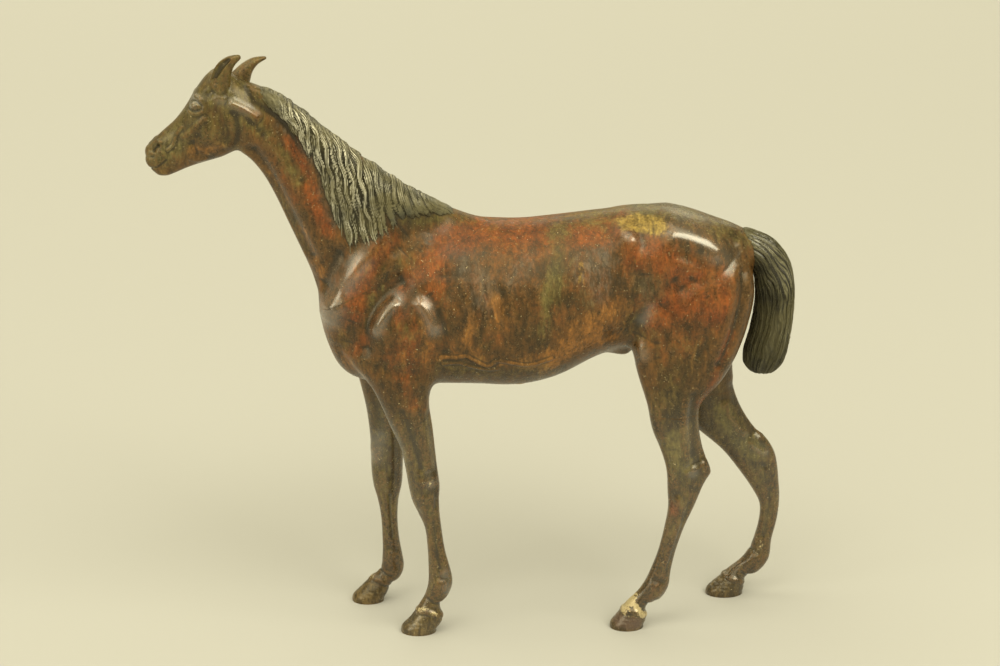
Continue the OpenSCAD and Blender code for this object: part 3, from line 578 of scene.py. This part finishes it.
# ---- mane
# Where the mane falls, from the poll to the withers: x, z, x, z and so on.
GUIDES = [curve(np.reshape(g, (-1, 2)), 8) for g in (
    (-62, 173.4, -60.6, 171.6, -59, 169.2, -57.8, 166.6),
    (-58, 171.8, -55.6, 168.6, -53.6, 164.4, -51.6, 160.2),
    (-51, 166.8, -48.4, 162.6, -46.8, 156.6, -45.6, 148.5),
    (-45.3, 162.3, -42, 156.2, -40.2, 147, -38.6, 137, -37.4, 129, -36.8, 121.8),
    (-38, 156.6, -35.8, 150.8, -34.2, 143.6, -33, 136.6, -31.4, 130, -30.4, 124.4),
    (-30, 150.8, -27.5, 146.2, -26.6, 140.6, -25.6, 134.6, -24.2, 129.4),
    (-22.5, 145.4, -20.2, 141.4, -18, 137.2, -15.8, 133.2),
    (-13, 139.8, -10, 136.9, -7.2, 134.6, -4.4, 132.6))]


def resampled(line, n):
    d = np.concatenate([[0], np.cumsum(np.linalg.norm(np.diff(line, axis=0), axis=1))])
    t = np.linspace(0, d[-1], n)
    return np.stack([np.interp(t, d, line[:, k]) for k in range(line.shape[1])], 1)


def across(line):
    """Unit steps square to the line."""
    step = np.gradient(line, axis=0)
    return np.stack([-step[:, 1], step[:, 0]], 1) / np.linalg.norm(step, axis=1)[:, None]


LOCK_COUNT = 62  # locks of the ground layer
STEPS = 25  # steps along a lock
BOLD = (0.15, 0.4, 0.65, 0.9, 1.15, 1.35, 1.9, 2.35, 2.75, 3.1, 3.5, 3.85, 4.3, 4.9, 5.6)


def mane_locks():
    """Wavy locks between the guides, and at BOLD's places a few bold ones that lie on top.

    Each is (points, half width, height, key). Places count in guides from the poll.
    """
    rng = np.random.default_rng(11)
    g = np.array([resampled(line, STEPS) for line in GUIDES])
    out = []
    for i in range(LOCK_COUNT):
        s = (i + rng.uniform(-0.3, 0.3)) / (LOCK_COUNT - 1) * (len(g) - 1)
        s = min(max(s, 0), len(g) - 1.001)
        k, f = int(s), s - int(s)
        line = g[k] * (1 - f) + g[k + 1] * f
        start = rng.choice([0.0, 0.0, 0.0, 0.12, 0.3, 0.45])
        end = rng.uniform(0.72, 1.05) if start < 0.2 else rng.uniform(0.9, 1.06)
        t = np.linspace(start, min(end, 1.0), STEPS + 1)
        line = np.stack([np.interp(t, np.linspace(0, 1, STEPS), line[:, j]) for j in range(2)], 1)
        swing = 0.6 * rng.uniform(0.3, 0.75)
        w = swing * np.sin(np.linspace(0, length_of(line) / 1.7, STEPS + 1) + s * 2.1 + rng.uniform(-0.9, 0.9))
        w = w * np.linspace(0.5, 1, STEPS + 1)
        line = line + across(line) * w[:, None]
        out.append((line, rng.uniform(0.85, 1.75), rng.uniform(0.35, 1.0) * min(0.85, 0.5 + 0.15 * s), i))
    rng.shuffle(out)
    for s in BOLD:
        k, f = int(s), s - int(s)
        line = resampled(g[k] * (1 - f) + g[k + 1] * f, STEPS + 1)
        line = line[:int(rng.integers(19, 25))]
        swing = 0.7 * rng.uniform(0.5, 0.8)
        w = swing * np.sin(np.linspace(0, length_of(line) / 1.5, len(line)) + rng.uniform(0, 6))
        thin = min(1.0, 0.55 + 0.3 * s)  # finer near the poll
        line = line + across(line) * w[:, None] * thin
        out.append((line, rng.uniform(0.9, 1.3) * thin, rng.uniform(0.8, 1.05) * thin, 80 + s))
    return out


def lay(u, locks):
    """Lays overlapping locks on the 2-D points: their height, each point's place in its lock, and the cover."""
    h = np.zeros(len(u))
    place = np.zeros((len(u), 3))
    cover = np.zeros(len(u))
    for line, half, height, key in locks:
        near = around(u, line, half)
        if len(near) == 0:
            continue
        d, share, side = along(u[near], line)
        width = half * np.clip(np.minimum(share * 7 + 0.45, (1 - share) * 3.2 + 0.08), 0.05, 1)
        x = d / width
        inside = x < 1
        near, x, share, side = near[inside], x[inside], share[inside], side[inside]
        rise = height * np.clip(1 - x**2.2, 0, 1) ** 0.7
        rise = rise * np.clip(np.minimum(share * 4 + 0.06, (1 - share) * 4), 0, 1)
        rise = rise - 0.09 * (1 + np.cos((d[inside] / half * side * 2.7 + 0.5) * math.pi * 2)) * (0.4 + height)
        top = rise > h[near]
        near, rise = near[top], rise[top]
        h[near] = rise
        place[near] = np.stack([x[top] * side[top] * half, share[top] * 10, np.full(top.sum(), key * 3.7)], 1)
        cover[near] = 1
    return h, place, cover


def placed(name, data):
    ob = bpy.data.objects.new(name, data)
    bpy.context.scene.collection.objects.link(ob)
    return ob


def make(name, p, q, attributes):
    """An object of quads, in row metres."""
    me = bpy.data.meshes.new(name)
    me.vertices.add(len(p))
    me.vertices.foreach_set("co", ((p + SHIFT) / MM).astype(np.float32).ravel())
    me.loops.add(q.size)
    me.loops.foreach_set("vertex_index", q.astype(np.int32).ravel())
    me.polygons.add(len(q))
    me.polygons.foreach_set("loop_start", np.arange(0, q.size, 4, dtype=np.int32))
    me.update(calc_edges=True)
    me.validate()
    for key, value in attributes.items():
        if value.ndim == 1:
            me.attributes.new(key, "FLOAT", "POINT").data.foreach_set("value", value.astype(np.float32))
        else:
            data = me.attributes.new(key, "FLOAT_VECTOR", "POINT").data
            data.foreach_set("vector", value.astype(np.float32).ravel())
    return placed(name, me)


def cutter(pts, faces):
    me = bpy.data.meshes.new("cutter")
    me.from_pydata(pts, [], faces)
    return me


def box_mesh(lo, hi):
    x, y, z = zip(lo, hi)
    return cutter([(x[i & 1], y[i >> 1 & 1], z[i >> 2]) for i in range(8)],
                  [(0, 2, 3, 1), (4, 5, 7, 6), (0, 1, 5, 4), (2, 6, 7, 3), (0, 4, 6, 2), (1, 3, 7, 5)])


def bar_mesh(a, b, radius):
    """A closed round bar from a to b."""
    n = 40
    a, b = Vector(a), Vector(b)
    turn = (b - a).to_track_quat("Z", "Y").to_matrix()
    ring = [turn @ Vector((radius * math.cos(t), radius * math.sin(t), 0)) for t in np.arange(n) * 2 * math.pi / n]
    sides = [(i, (i + 1) % n, n + (i + 1) % n, n + i) for i in range(n)]
    ends = [tuple(range(n))[::-1], tuple(range(n, 2 * n))]
    return cutter([a + v for v in ring] + [b + v for v in ring], ends + sides)


def boolean(ob, me, operation="DIFFERENCE"):
    """me is in row metres. The result replaces ob's mesh."""
    tool = placed("cutter", me)
    mod = ob.modifiers.new("cut", "BOOLEAN")
    mod.object, mod.operation, mod.solver = tool, operation, "MANIFOLD"
    bpy.context.view_layer.update()
    done = bpy.data.meshes.new_from_object(ob.evaluated_get(bpy.context.evaluated_depsgraph_get()))
    ob.modifiers.clear()
    old = ob.data
    ob.data = done
    bpy.data.meshes.remove(old)
    bpy.data.objects.remove(tool)


# joint planes: a point (x, z) and the rise of the plane towards +X
NECK_JOINT, HEAD_JOINT = ((-18, 118.5), 26.5), ((-63.6, 161.5), 76.5)
FORE_Z, HIND_Z = 72.0, 70.0  # height of the legs' joints
MIDDLE = 15  # x between the forelegs and the hind legs


def over(x, z, joint):
    """Height above a joint plane, on grids or points."""
    (px, pz), rise = joint
    c, s = math.cos(math.radians(rise)), math.sin(math.radians(rise))
    return (z - pz) * c - (x - px) * s


def half_space(joint, above):
    """A large box on one side of a joint plane, in row metres."""
    (px, pz), rise = joint
    me = box_mesh((-0.3, -0.3, 0 if above else -0.3), (0.3, 0.3, 0.3 if above else 0))
    me.transform(Matrix.Translation(((px + X0) / MM, 0, pz / MM)) @ Matrix.Rotation(math.radians(-rise), 4, "Y"))
    return me


# For each casting, the box that holds it and its voxel.
PIECES = {
    "trunk": ((-50, -25, 66), (90, 25, 138), 0.45),
    "neck": ((-78, -17, 100), (14, 17, 182), 0.28),
    "head": ((-101, -12, 140), (-56, 14, 184), 0.17),
    "left_foreleg": ((-30, -20, -1.5), (-3, -2, 75), 0.26),
    "right_foreleg": ((-41, 2, -1.5), (-14, 21, 75), 0.26),
    "left_hind_leg": ((38, -20, -1.5), (82, -2, 73), 0.26),
    "right_hind_leg": ((58, 2, -1.5), (102, 21, 73), 0.26),
}


def region(name, ax):
    """Distance outside the room that a piece may fill, a little past its joints."""
    x, y, z = np.ix_(*ax)
    if name == "trunk":
        out = np.maximum(over(x, z, NECK_JOINT) - PAST, np.where(x < MIDDLE, FORE_Z, HIND_Z) - PAST - z)
    elif name == "neck":
        out = np.maximum(-over(x, z, NECK_JOINT) - PAST, over(x, z, HEAD_JOINT) - PAST)
    elif name == "head":
        out = -over(x, z, HEAD_JOINT) - PAST
    else:
        out = z - (FORE_Z if "fore" in name else HIND_Z) - PAST
    return out + 0 * x + 0 * y


LOCKS = mane_locks()


def relaxed(p, q, rounds):
    """Each point pulled to the mean of its neighbours, rounds times."""
    e = np.sort(np.concatenate([q[:, [0, 1]], q[:, [1, 2]], q[:, [2, 3]], q[:, [3, 0]]]), axis=1)
    e = np.unique(e[:, 0] * len(p) + e[:, 1])
    e = np.stack([e // len(p), e % len(p)], 1)
    count = np.bincount(e.ravel(), minlength=len(p))
    a, b = e[:, 0], e[:, 1]
    for _ in range(rounds):
        p = np.stack([(np.bincount(a, p[b, k], len(count)) + np.bincount(b, p[a, k], len(count))) / count
                      for k in range(3)], 1)
    return p


# Paint of each colour, in rows like BODY's. "shade" darkens, "matt" is glossy where negative.
PAINT = {}
PAINT["rust"] = [
    ("A", 0.36, 26, -30, 108, 0, 112, 60, 112), ("A", 0.9, 3.8, -8, 128.2, 6, 128.4, 20, 128.2, 34, 128.6, 46, 130.5),
    (0.9, 3.8, 49.5, 121.5, 53.5, 124.6, 58, 122), (0.9, 3.4, 60, 119, 63, 117, 67, 116.5),
    (1, 4.2, 55.5, 104, 59.5, 106.5, 63, 109), (0.8, 3, 76.8, 115, 76.6, 109, 75, 103), (0.6, 3.2, 68.4, 110, 71, 104),
    (0.3, 9, 66, 112, 66, 98), (0.95, 2.8, -36, 104, -33.3, 113.4, -28.7, 122, -24, 128),
    (0.8, 3.2, -20.5, 104, -18.5, 98.5), (0.9, 3, -13, 120, -8, 124.5, -2, 126.5), (0.7, 2.6, -21, 112.5, -16.5, 116.5),
    (0.7, 2.4, -36, 92, -33, 97), (0.4, 5, -24, 92, -17, 90), (0.6, 3, -11, 112, -9, 117),
    (1.2, 2.5, -53.5, 157, -51, 152.5, -48.3, 144.9, -46.3, 137.8, -43, 130), (0.6, 2.4, -60, 158, -56, 148, -52, 139),
    (0.8, 2.2, -67.5, 167.6, -63.5, 165), (0.5, 3, -21, 84, -17, 76), (0.8, 2, 78.5, 97, 76, 88, 72.5, 79, 70, 74),
    ("L", 0.9, 1.8, 62.4, 41, 62.6, 38.6), ("L", 0.4, 2, 66, 74, 66.5, 60), (0.3, 2.4, -86, 160, -88, 156),
    ("L", 0.4, 2, -9, 22, -10, 15), ("L", 0.4, 2.4, 57, 15, 59, 11)]
PAINT["orange"] = [
    ("L", 1, 0.8, -10, 91.6, -1.8, 92.6, 5.2, 89, 11.2, 90.5, 18.7, 89.5, 25, 91.5),
    ("W", 0.5, 2.6, -42, 98, -39, 90, -34, 84), (0.5, 3.4, -22, 92, -14, 93), (0.6, 3, -1, 100, 1, 104.5),
    (0.9, 3.2, 7.8, 110, 9.4, 104), (1, 4.6, 30, 99.6, 36, 102.6, 44.6, 106), (0.9, 4.6, 24, 91, 30, 94.5),
    (0.8, 4, 38, 96, 44, 97), (0.5, 3, -33, 118, -26, 126), (0.5, 6, 0, 92, 20, 90),
    (0.9, 1.7, -50, 129, -47.5, 122, -45, 115), (0.5, 3, -60, 148, -55, 138),
    (0.9, 2, -83, 154.2, -78, 154.6, -74.5, 155.4), (0.5, 3.6, -34, 88, -28, 86), (0.4, 4, -14, 106, -12, 98),
    (0.4, 5, 68, 94, 64, 88)]
PAINT["olive"] = [
    ("A", 1, 4.5, -88, 164, -80, 172), ("A", 1.1, 5, -98, 152, -91, 156), ("A", 0.6, 4, -66, 172, -58, 168),
    ("A", 0.45, 14, -20, 62, -14, 30, -12, 10), ("A", 0.42, 14, 64, 62, 66, 36, 58, 12), ("A", 0.5, 10, 92, 48, 94, 24),
    ("A", 0.4, 8, -28, 60, -28, 20), ("A", 0.7, 2.4, -12, 136, -4, 132.8, 8, 131.2, 20, 131.3, 34, 132, 44, 133),
    ("W", 0.5, 3, -40, 96, -34, 88), (0.5, 5, -6, 88, 20, 88), (1.5, 3.2, 26.6, 128, 25.9, 120, 24, 112),
    (0.9, 3, 22, 107, 21.5, 101), (0.6, 3, 34, 112, 36, 108), (1.1, 2.4, -20, 102.6, -18.8, 99.8),
    (0.7, 3, -30, 110, -26, 112), (0.6, 3.4, -26, 118, -18, 121), (0.7, 2, -69, 153, -61, 144, -55, 133, -50, 122),
    ("A", 0.5, 6, 38, 133, 50, 134), ("A", 0.95, 4, 52, 133.4, 64, 132.6, 77, 128),
    ("A", 1.3, 6, -77, 176, -70, 183, -62, 178), ("A", 0.7, 3, -72, 173, -64, 170, -58, 167),
    (1.2, 2.8, -70, 167, -62, 161, -56, 153, -51, 146), ("A", 0.8, 5, -32, 147, -22, 141, -14, 136),
    ("A", 0.7, 2, -66, 172, -52, 166, -40, 158.5, -28, 150), (0.9, 3.5, -30, 139, -20, 135, -12, 133.5),
    (0.6, 5, 50, 102, 54, 96), (0.5, 5, 64, 94, 62, 86), ("L", 0.7, 4, 63, 63, 64, 54),
    ("AR", 1.9, 2.6, 79.6, 64, 83, 58.4), ("AR", 2, 2.6, 85.5, 54, 91, 49.6), ("L", 0.9, 2, -13.6, 44.4, -13.8, 41),
    ("AL", 0.9, 1.6, -6.6, 18, -6.4, 13), ("L", 0.6, 3, -16, 4, -11, 2), (0.9, 6, -82, 163, -74, 160),
    (1.1, 4, -94, 153, -87, 157), (0.5, 4, -78, 172, -72, 172),
    ("A", 1, 3.2, 82, 124, 88, 122, 94, 117.5, 97, 111, 98, 103, 97, 94)]
# grey-purple paint; the patches on the barrel also paint its soft bluish highlights
PAINT["purple"] = [
    ("L", 1, 6.5, -52, 163, -42, 155, -36, 147), (1.1, 4, -95, 153, -88, 158),
    (0.9, 2.8, -42.5, 107, -40.5, 114, -38.5, 121), (1, 4.6, -2, 119.5, 2, 115.5, 4, 110), (0.8, 4, 12, 117.6, 17, 121),
    (0.8, 3.6, 34, 121, 33, 117), (1, 4.4, 40, 123, 39.6, 116, 38, 111), ("AL", 0.9, 3, 46, 3, 51, 2.6),
    (0.6, 3.6, -23, 108, -18, 108), (0.5, 4, 53, 114, 53, 106), (0.5, 3, -46, 141, -41.5, 132)]
# painted shade in the grooves, the hollows and under the belly and elbows; the strokes on the gaskin and the upper arm
# darken their tone
PAINT["shade"] = [
    (1.1, 5.5, 60, 78, 61.6, 64), (0.9, 5, -20, 104, -19, 92), (0.9, 2.6, 54.4, 115, 54.8, 105),
    (0.4, 4, -16, 84, -14, 70), (1.4, 2.1, 60.5, 116.4, 63, 113.6, 66.5, 110.8),
    (0.9, 2.2, -33.5, 104, -31, 110.5, -26, 115.5), (0.7, 2.2, -9, 112, -7.6, 104, -8, 97),
    (0.9, 3, 51, 115, 49.5, 106, 47.5, 99), (0.8, 4, -8, 87.5, 10, 85.5, 28, 85.5), (0.5, 3, 70, 96, 66, 88),
    (0.7, 2.6, -31, 90, -20, 87.8), (0.6, 2.6, 3, 102, 4.4, 96), (0.6, 2, 13, 108, 14, 101), (0.5, 3, 20, 103, 21, 97),
    (0.6, 3, 58, 122.6, 66, 121.4)]
PAINT["matt"] = [
    ("A", -0.4, 12, -22, 62, -20, 34, -18, 8), ("A", -0.4, 12, 64, 62, 64, 34, 56, 8),
    ("A", -0.4, 9, 88, 56, 94, 36, 86, 8), ("AR", -0.9, 1.6, 91.4, 51.6, 93.6, 50), (-0.8, 1.7, 54.6, 105.6, 52, 101.6),
    (-0.7, 1.6, 52.4, 92.8, 52.6, 90.4), ("A", -0.5, 3, 88, 122, 94, 117.6, 96.6, 112),
    ("A", 0.9, 8, -12, 129, 10, 128, 40, 129), (0.7, 10, -8, 118, 6, 119, 24, 117, 38, 116),
    ("A", -1.1, 2.7, 62, 128.8, 66, 127.5, 70.6, 125, 74.2, 122, 77, 119.4), (-1.2, 2.4, 46.6, 128, 48, 127.4),
    (-0.6, 1.8, -74, 170, -70, 169.3, -66, 167), (-0.9, 1.6, -83, 168.5, -81, 169.5), (-0.5, 3, 3.5, 124, 4.6, 115.6),
    (-0.5, 2, 33, 123, 33, 121), ("AL", -0.9, 1.5, 67.6, 53.4, 68.2, 51.6), ("AL", -0.8, 1.4, -13.2, 53, -12.6, 50),
    ("AR", -0.8, 2.4, -28, 56.9, -29, 50), ("AL", -0.8, 1.6, -8.2, 20, -7.6, 14),
    ("W", -1.2, 2.8, -42, 102, -40.4, 106.5, -38.2, 111.2, -35.6, 115.8, -32.6, 120.2),
    (-1.2, 2, -28.4, 101, -26.6, 105.1, -24.4, 107.9, -22, 110.4), (-1.2, 2, -15, 109.4, -12.5, 105.8, -11, 101)]
# golden patches; the stroke at x 33 on the barrel is a painted highlight
PAINT["gold"] = [
    ("L", 1.7, 2.2, 46.5, 130.6, 51, 130.9, 57, 130), (0.6, 1.6, 33, 120.5, 32.6, 116), (0.5, 1.4, 26, 131, 22, 130.4),
    (0.35, 1.5, -91, 146, -94, 147.4)]
PAINT["cream"] = [
    ("AL", 1, 1.25, 50.6, 11, 48.8, 8.6, 47.6, 6.4), ("AL", 1, 1.1, 50.6, 8.4, 52.2, 6, 53.8, 4.4),
    ("AL", 0.6, 0.9, -16.6, 7.4, -14.4, 8.6), ("AL", 0.6, 0.7, -12, 7, -11.2, 6.4),
    ("AR", 0.6, 0.9, -32.4, 7.6, -30.6, 8.2), ("AR", 0.45, 0.8, 93.2, 18.5, 93.2, 16),
    # the dab on the near knee is a painted highlight speck
    ("AL", 0.4, 0.8, -12.8, 51, -12.6, 50)]

# The hooves from front to back: where one is highest, its height there, and its fall for each mm behind.
HOOVES = [(-31, 6.3, 0.30), (-15, 6.0, 0.30), (50, 4.9, 0.35), (82, 5.6, 0.35)]
HOOF_ENDS = -22.5, 0, 68


def painted(p, n):
    """The strength of every colour at each point."""
    out = {name: strokes(p, n, table, False) for name, table in PAINT.items()}
    x, z = p[:, 0], p[:, 2]
    legs, muzzle, head = 1 - smooth(z, 64, 84), smooth(-x, 86, 93), smooth(-x, 62, 72)
    # darker paint on the lower legs, muzzle and head, plus the painted shade of the "shade" strokes
    out["dark"] = np.clip(out.pop("shade") + legs * 0.9 + 0.45 * muzzle + 0.25 * head, 0, 1)
    tops = [high - fall * np.maximum(x - top, 0) for top, high, fall in HOOVES]
    out["hoof"] = 1 - smooth(z - np.select([x < end for end in HOOF_ENDS], tops[:3], tops[3]), -0.25, 0.25)
    return out


def finished(p, q, v, base, cover, place):
    """Everything that the paint reads at each point. base is the surface before its strokes."""
    n = normals(p, q)
    out = painted(base, normals(base, q))
    near = relaxed(p, q, int(math.ceil(0.6 / v**2)))
    far = relaxed(near, q, int(math.ceil(3.0 / v**2)))
    out["ridge"] = np.clip(((p - near) * n).sum(1) * 12, -1, 1)
    out["swell"] = np.clip(((near - far) * n).sum(1) * 3, -1, 1)
    out["hair"], out["strand"] = cover, place
    return out


def sculpt(name, base, q, v):
    n = normals(base, q)
    h = strokes(base, n, HEAD + NECK if name == "head" else BODY + NECK + LEGS)
    place, cover = np.zeros((len(base), 3)), np.zeros(len(base))
    if name in ("trunk", "neck", "head"):  # the mane, on the left side and over the crest
        x, y, z = base.T
        m = np.where((y < 1.5) & (n[:, 1] < 0.75) & (z > 118) & (x < 2))[0]
        rise, place[m], cover[m] = lay(base[m][:, [0, 2]], LOCKS)
        h[m] += rise
    p = base + n * h[:, None]
    return p, finished(p, q, v, base, cover, place)


def finish_piece(ob, node, material=coat):
    ob.data.materials.clear()
    ob.data.materials.append(material)
    ob.data.polygons.foreach_set("use_smooth", np.ones(len(ob.data.polygons), bool))
    ob.data.set_sharp_from_angle(angle=math.radians(SHARP))
    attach(ob, "root")
    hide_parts(node)
    ob.name = node + "_form"


def islands(me):
    """The separate closed bodies of a mesh, each as its own list of points."""
    link = np.empty(len(me.edges) * 2, np.int32)
    me.edges.foreach_get("vertices", link)
    link = link.reshape(-1, 2)
    group = np.arange(len(me.vertices))
    while True:
        low = group.copy()
        np.minimum.at(low, link[:, 0], group[link[:, 1]])
        np.minimum.at(low, link[:, 1], group[link[:, 0]])
        if (low == group).all():
            break
        group = low
    co = points(me)
    return [co[group == g] for g in np.unique(group)]


def pin_bars():
    """The core pins' plugs as round bars that run out past the skin, in one object."""
    pins = None
    for co in islands(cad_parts["core_pin_plugs"].data):
        (x, _, z), side = co.mean(0), np.sign(co[:, 1].mean())
        near, far = np.abs(co[:, 1]).min(), np.abs(co[:, 1]).max() + 0.003
        bar = bar_mesh((x, side * near, z), (x, side * far, z), np.ptp(co[:, 0]) / 2)
        if pins is None:
            pins = placed("pin", bar)
        else:
            boolean(pins, bar, "UNION")
    return pins


for name, (lo, hi, v) in PIECES.items():
    a, first, ax = block(body, LO, BASE, (lo, hi), v)
    a = np.maximum(a, region(name, ax).astype(np.float32))
    if name == "trunk":  # the dock's seat
        a = np.maximum(a, -block(tail, LO, BASE, (lo, hi), v)[0])
    p, q = surface(a, first, v)
    p, attributes = sculpt(name, p, q, v)
    ob = make(name, p, q, attributes)
    if name == "trunk":
        boolean(ob, half_space(NECK_JOINT, True))
        boolean(ob, box_mesh((-0.1, -0.05, 0), ((MIDDLE + X0) / MM, 0.05, FORE_Z / MM)))
        boolean(ob, box_mesh(((MIDDLE + X0) / MM, -0.05, 0), (0.2, 0.05, HIND_Z / MM)))
        plugs, pins = placed("plugs", ob.data.copy()), pin_bars()
        boolean(ob, pins.data.copy())
        boolean(plugs, pins.data.copy(), "INTERSECT")
        bpy.data.objects.remove(pins)
        finish_piece(plugs, "core_pin_plugs")
    elif name == "neck":
        boolean(ob, half_space(NECK_JOINT, False))
        boolean(ob, half_space(HEAD_JOINT, True))
    elif name == "head":
        boolean(ob, half_space(HEAD_JOINT, False))
    else:
        boolean(ob, box_mesh((-0.2, -0.1, (FORE_Z if "fore" in name else HIND_Z) / MM), (0.2, 0.1, 0.2)))
        boolean(ob, box_mesh((-0.2, -0.1, -0.1), (0.2, 0.1, 0)))
    finish_piece(ob, name)


# ---- tail
def comb(x, sharp=1.0):
    """A row of round ridges, one for each whole number."""
    f = x - np.floor(x)
    return (1 - np.abs(2 * f - 1) ** 1.5) ** sharp


AXIS = curve([(80, 123.4), (85, 121.6), (89.6, 118.2), (92.6, 113.2), (94, 106.6), (93.6, 98.6), (92.4, 90), (91, 82),
              (90.6, 78)])
TAIL_BOX, TAIL_VOXEL = ((80, -8, 76), (102, 8, 130)), 0.22
a, first, _ = block(tail, LO, BASE, TAIL_BOX, TAIL_VOXEL)
base, q = surface(a, first, TAIL_VOXEL)
d, share, side = along(base[:, [0, 2]], AXIS)
phi = np.arctan2(base[:, 1], -d * side)  # angle round the axis
s = share * length_of(AXIS)  # mm along it
wave = 0.10 * np.sin(s * 0.12 + 0.6) + 0.04 * np.sin(s * 0.31 + 2 * phi) + 0.015 * np.sin(s * 0.8 + 3 * phi)
turn = (phi + wave + 0.10 * np.sin(3 * phi + 1) + 0.06 * np.sin(7 * phi + s * 0.2)) / (2 * math.pi)
h = 0.42 * comb(turn * 19 + 0.4 * np.sin(s * 0.13), 0.8) + 0.26 * comb(turn * 47 + 0.25 * np.sin(s * 0.5))
h = h + 0.12 * comb(turn * 89 + s * 0.06) - 0.55
h = h * (0.35 + 0.65 * smooth(base[:, 2], 78, 84)) * smooth(s, 2, 9)  # flatter at the tip and at the dock
p = base + normals(base, q) * h[:, None]
place = np.stack([turn * 60, s, turn * 0], 1)
finish_piece(make("tail", p, q, finished(p, q, TAIL_VOXEL, base, np.ones(len(p)), place)), "tail", hair)


# ---- ears
EAR_VOXEL = 0.15
# The hollow of each ear, as a run of balls and their radii.
EARS = {
    "left_ear": ([(-76.2, -4.6, 175.6), (-75.4, -6, 178), (-73.6, -6.7, 180.4), (-71, -7, 182.4)],
                 [0.9, 1.5, 1.3, 0.6]),
    "right_ear": ([(-69.2, 6, 173.6), (-67, 7, 176.4), (-64.6, 7.6, 178.2), (-62, 7.8, 179.2)],
                  [0.8, 1.2, 1, 0.5])}
for name, (run, radii) in EARS.items():
    p, t = node_mesh(name)
    lo = np.floor((p.min(0) - 2) / EAR_VOXEL).astype(int)
    shape = tuple(int(k) for k in np.ceil((p.max(0) + 2) / EAR_VOXEL).astype(int) - lo)
    ax = [(np.arange(shape[i]) + lo[i]) * EAR_VOXEL for i in range(3)]
    a = blur(distance(p, t, lo, shape, EAR_VOXEL, 14), 0.35 / EAR_VOXEL)
    a = -melt(-a, capsule(ax, run, radii), 0.5)
    p, q = surface(a.astype(np.float32), lo, EAR_VOXEL)
    ob = make(name, p, q, finished(p, q, EAR_VOXEL, p, np.zeros(len(p)), 0 * p))
    finish_piece(ob, name)

raw = plain("raw", (0.45, 0.27, 0.1), 0.35, 0.9, 2500, 0.7)
for name in ("neck_studs", "head_dowel", "leg_rivets", "tail_rivet", "core_vent_plug"):
    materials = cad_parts[name].data.materials
    materials.clear()
    materials.append(raw)


# ---- stage, light, camera
# A wide flat floor of pale paper, so that nothing stands in the way of any camera.
floor = bpy.data.meshes.new("floor")
floor.from_pydata([(-6, -6, 0), (6, -6, 0), (6, 6, 0), (-6, 6, 0)], [], [(0, 1, 2, 3)])
floor.materials.append(plain("paper", (0.535, 0.535, 0.535), 0.9, 0.0, 30, 0.985))
placed("floor", floor)


def area(name, loc, aim, size, power, color):
    light = bpy.data.lights.new(name, "AREA")
    light.shape = "RECTANGLE"
    light.size, light.size_y = size
    light.energy, light.color = power, color
    ob = placed(name, light)
    ob.location = loc
    ob.rotation_euler = (Vector(aim) - Vector(loc)).to_track_quat("-Z", "Y").to_euler()


sun = bpy.data.lights.new("key", "SUN")
sun.energy, sun.color, sun.angle = 1.72, (1, 0.93, 0.66), math.radians(90)
placed("key", sun).rotation_euler = Vector((0.25, 0.45, -1.0)).to_track_quat("-Z", "Y").to_euler()
WARM, PALE = (1, 0.94, 0.7), (1, 0.94, 0.72)
area("right", (0.66, -0.58, 0.85), (0.02, 0, 0.1), (0.85, 0.42), 6.2, WARM)
area("left", (-0.95, -0.5, 0.42), (-0.02, 0, 0.1), (0.5, 0.5), 1.8, WARM)
area("upper", (-0.25, -0.5, 1.1), (0, 0, 0.1), (0.4, 0.4), 1.2, PALE)
area("back", (-0.7, 0.45, 1.0), (0, 0, 0.1), (0.9, 0.6), 1.6, PALE)
area("far", (0, 1.5, 0.9), (0, 0.9, 0), (2.0, 0.6), 6.2, WARM)
scene = bpy.context.scene
scene.view_settings.view_transform = "Standard"
scene.world = bpy.data.worlds.new("world")
scene.world.use_nodes = True
sky = scene.world.node_tree.nodes["Background"].inputs
sky["Color"].default_value, sky["Strength"].default_value = (0.8, 0.73, 0.44, 1), 0.56

SENSOR, LENS = 36, 3.26  # mm, and the focal length in sensors
ELEVATION, AZIMUTH = math.radians(19), math.radians(-3)
AIM = Vector(((9.5 + X0) / MM, 0, 93.5 / MM))  # looked at from 1 m
cam = bpy.data.cameras.new("camera")
cam.sensor_width, cam.lens, cam.clip_start = SENSOR, SENSOR * LENS, 0.01
back = Vector((math.sin(AZIMUTH) * math.cos(ELEVATION), -math.cos(AZIMUTH) * math.cos(ELEVATION), math.sin(ELEVATION)))
scene.camera = placed("camera", cam)
scene.camera.location = AIM + back
scene.camera.rotation_euler = back.to_track_quat("Z", "Y").to_euler()
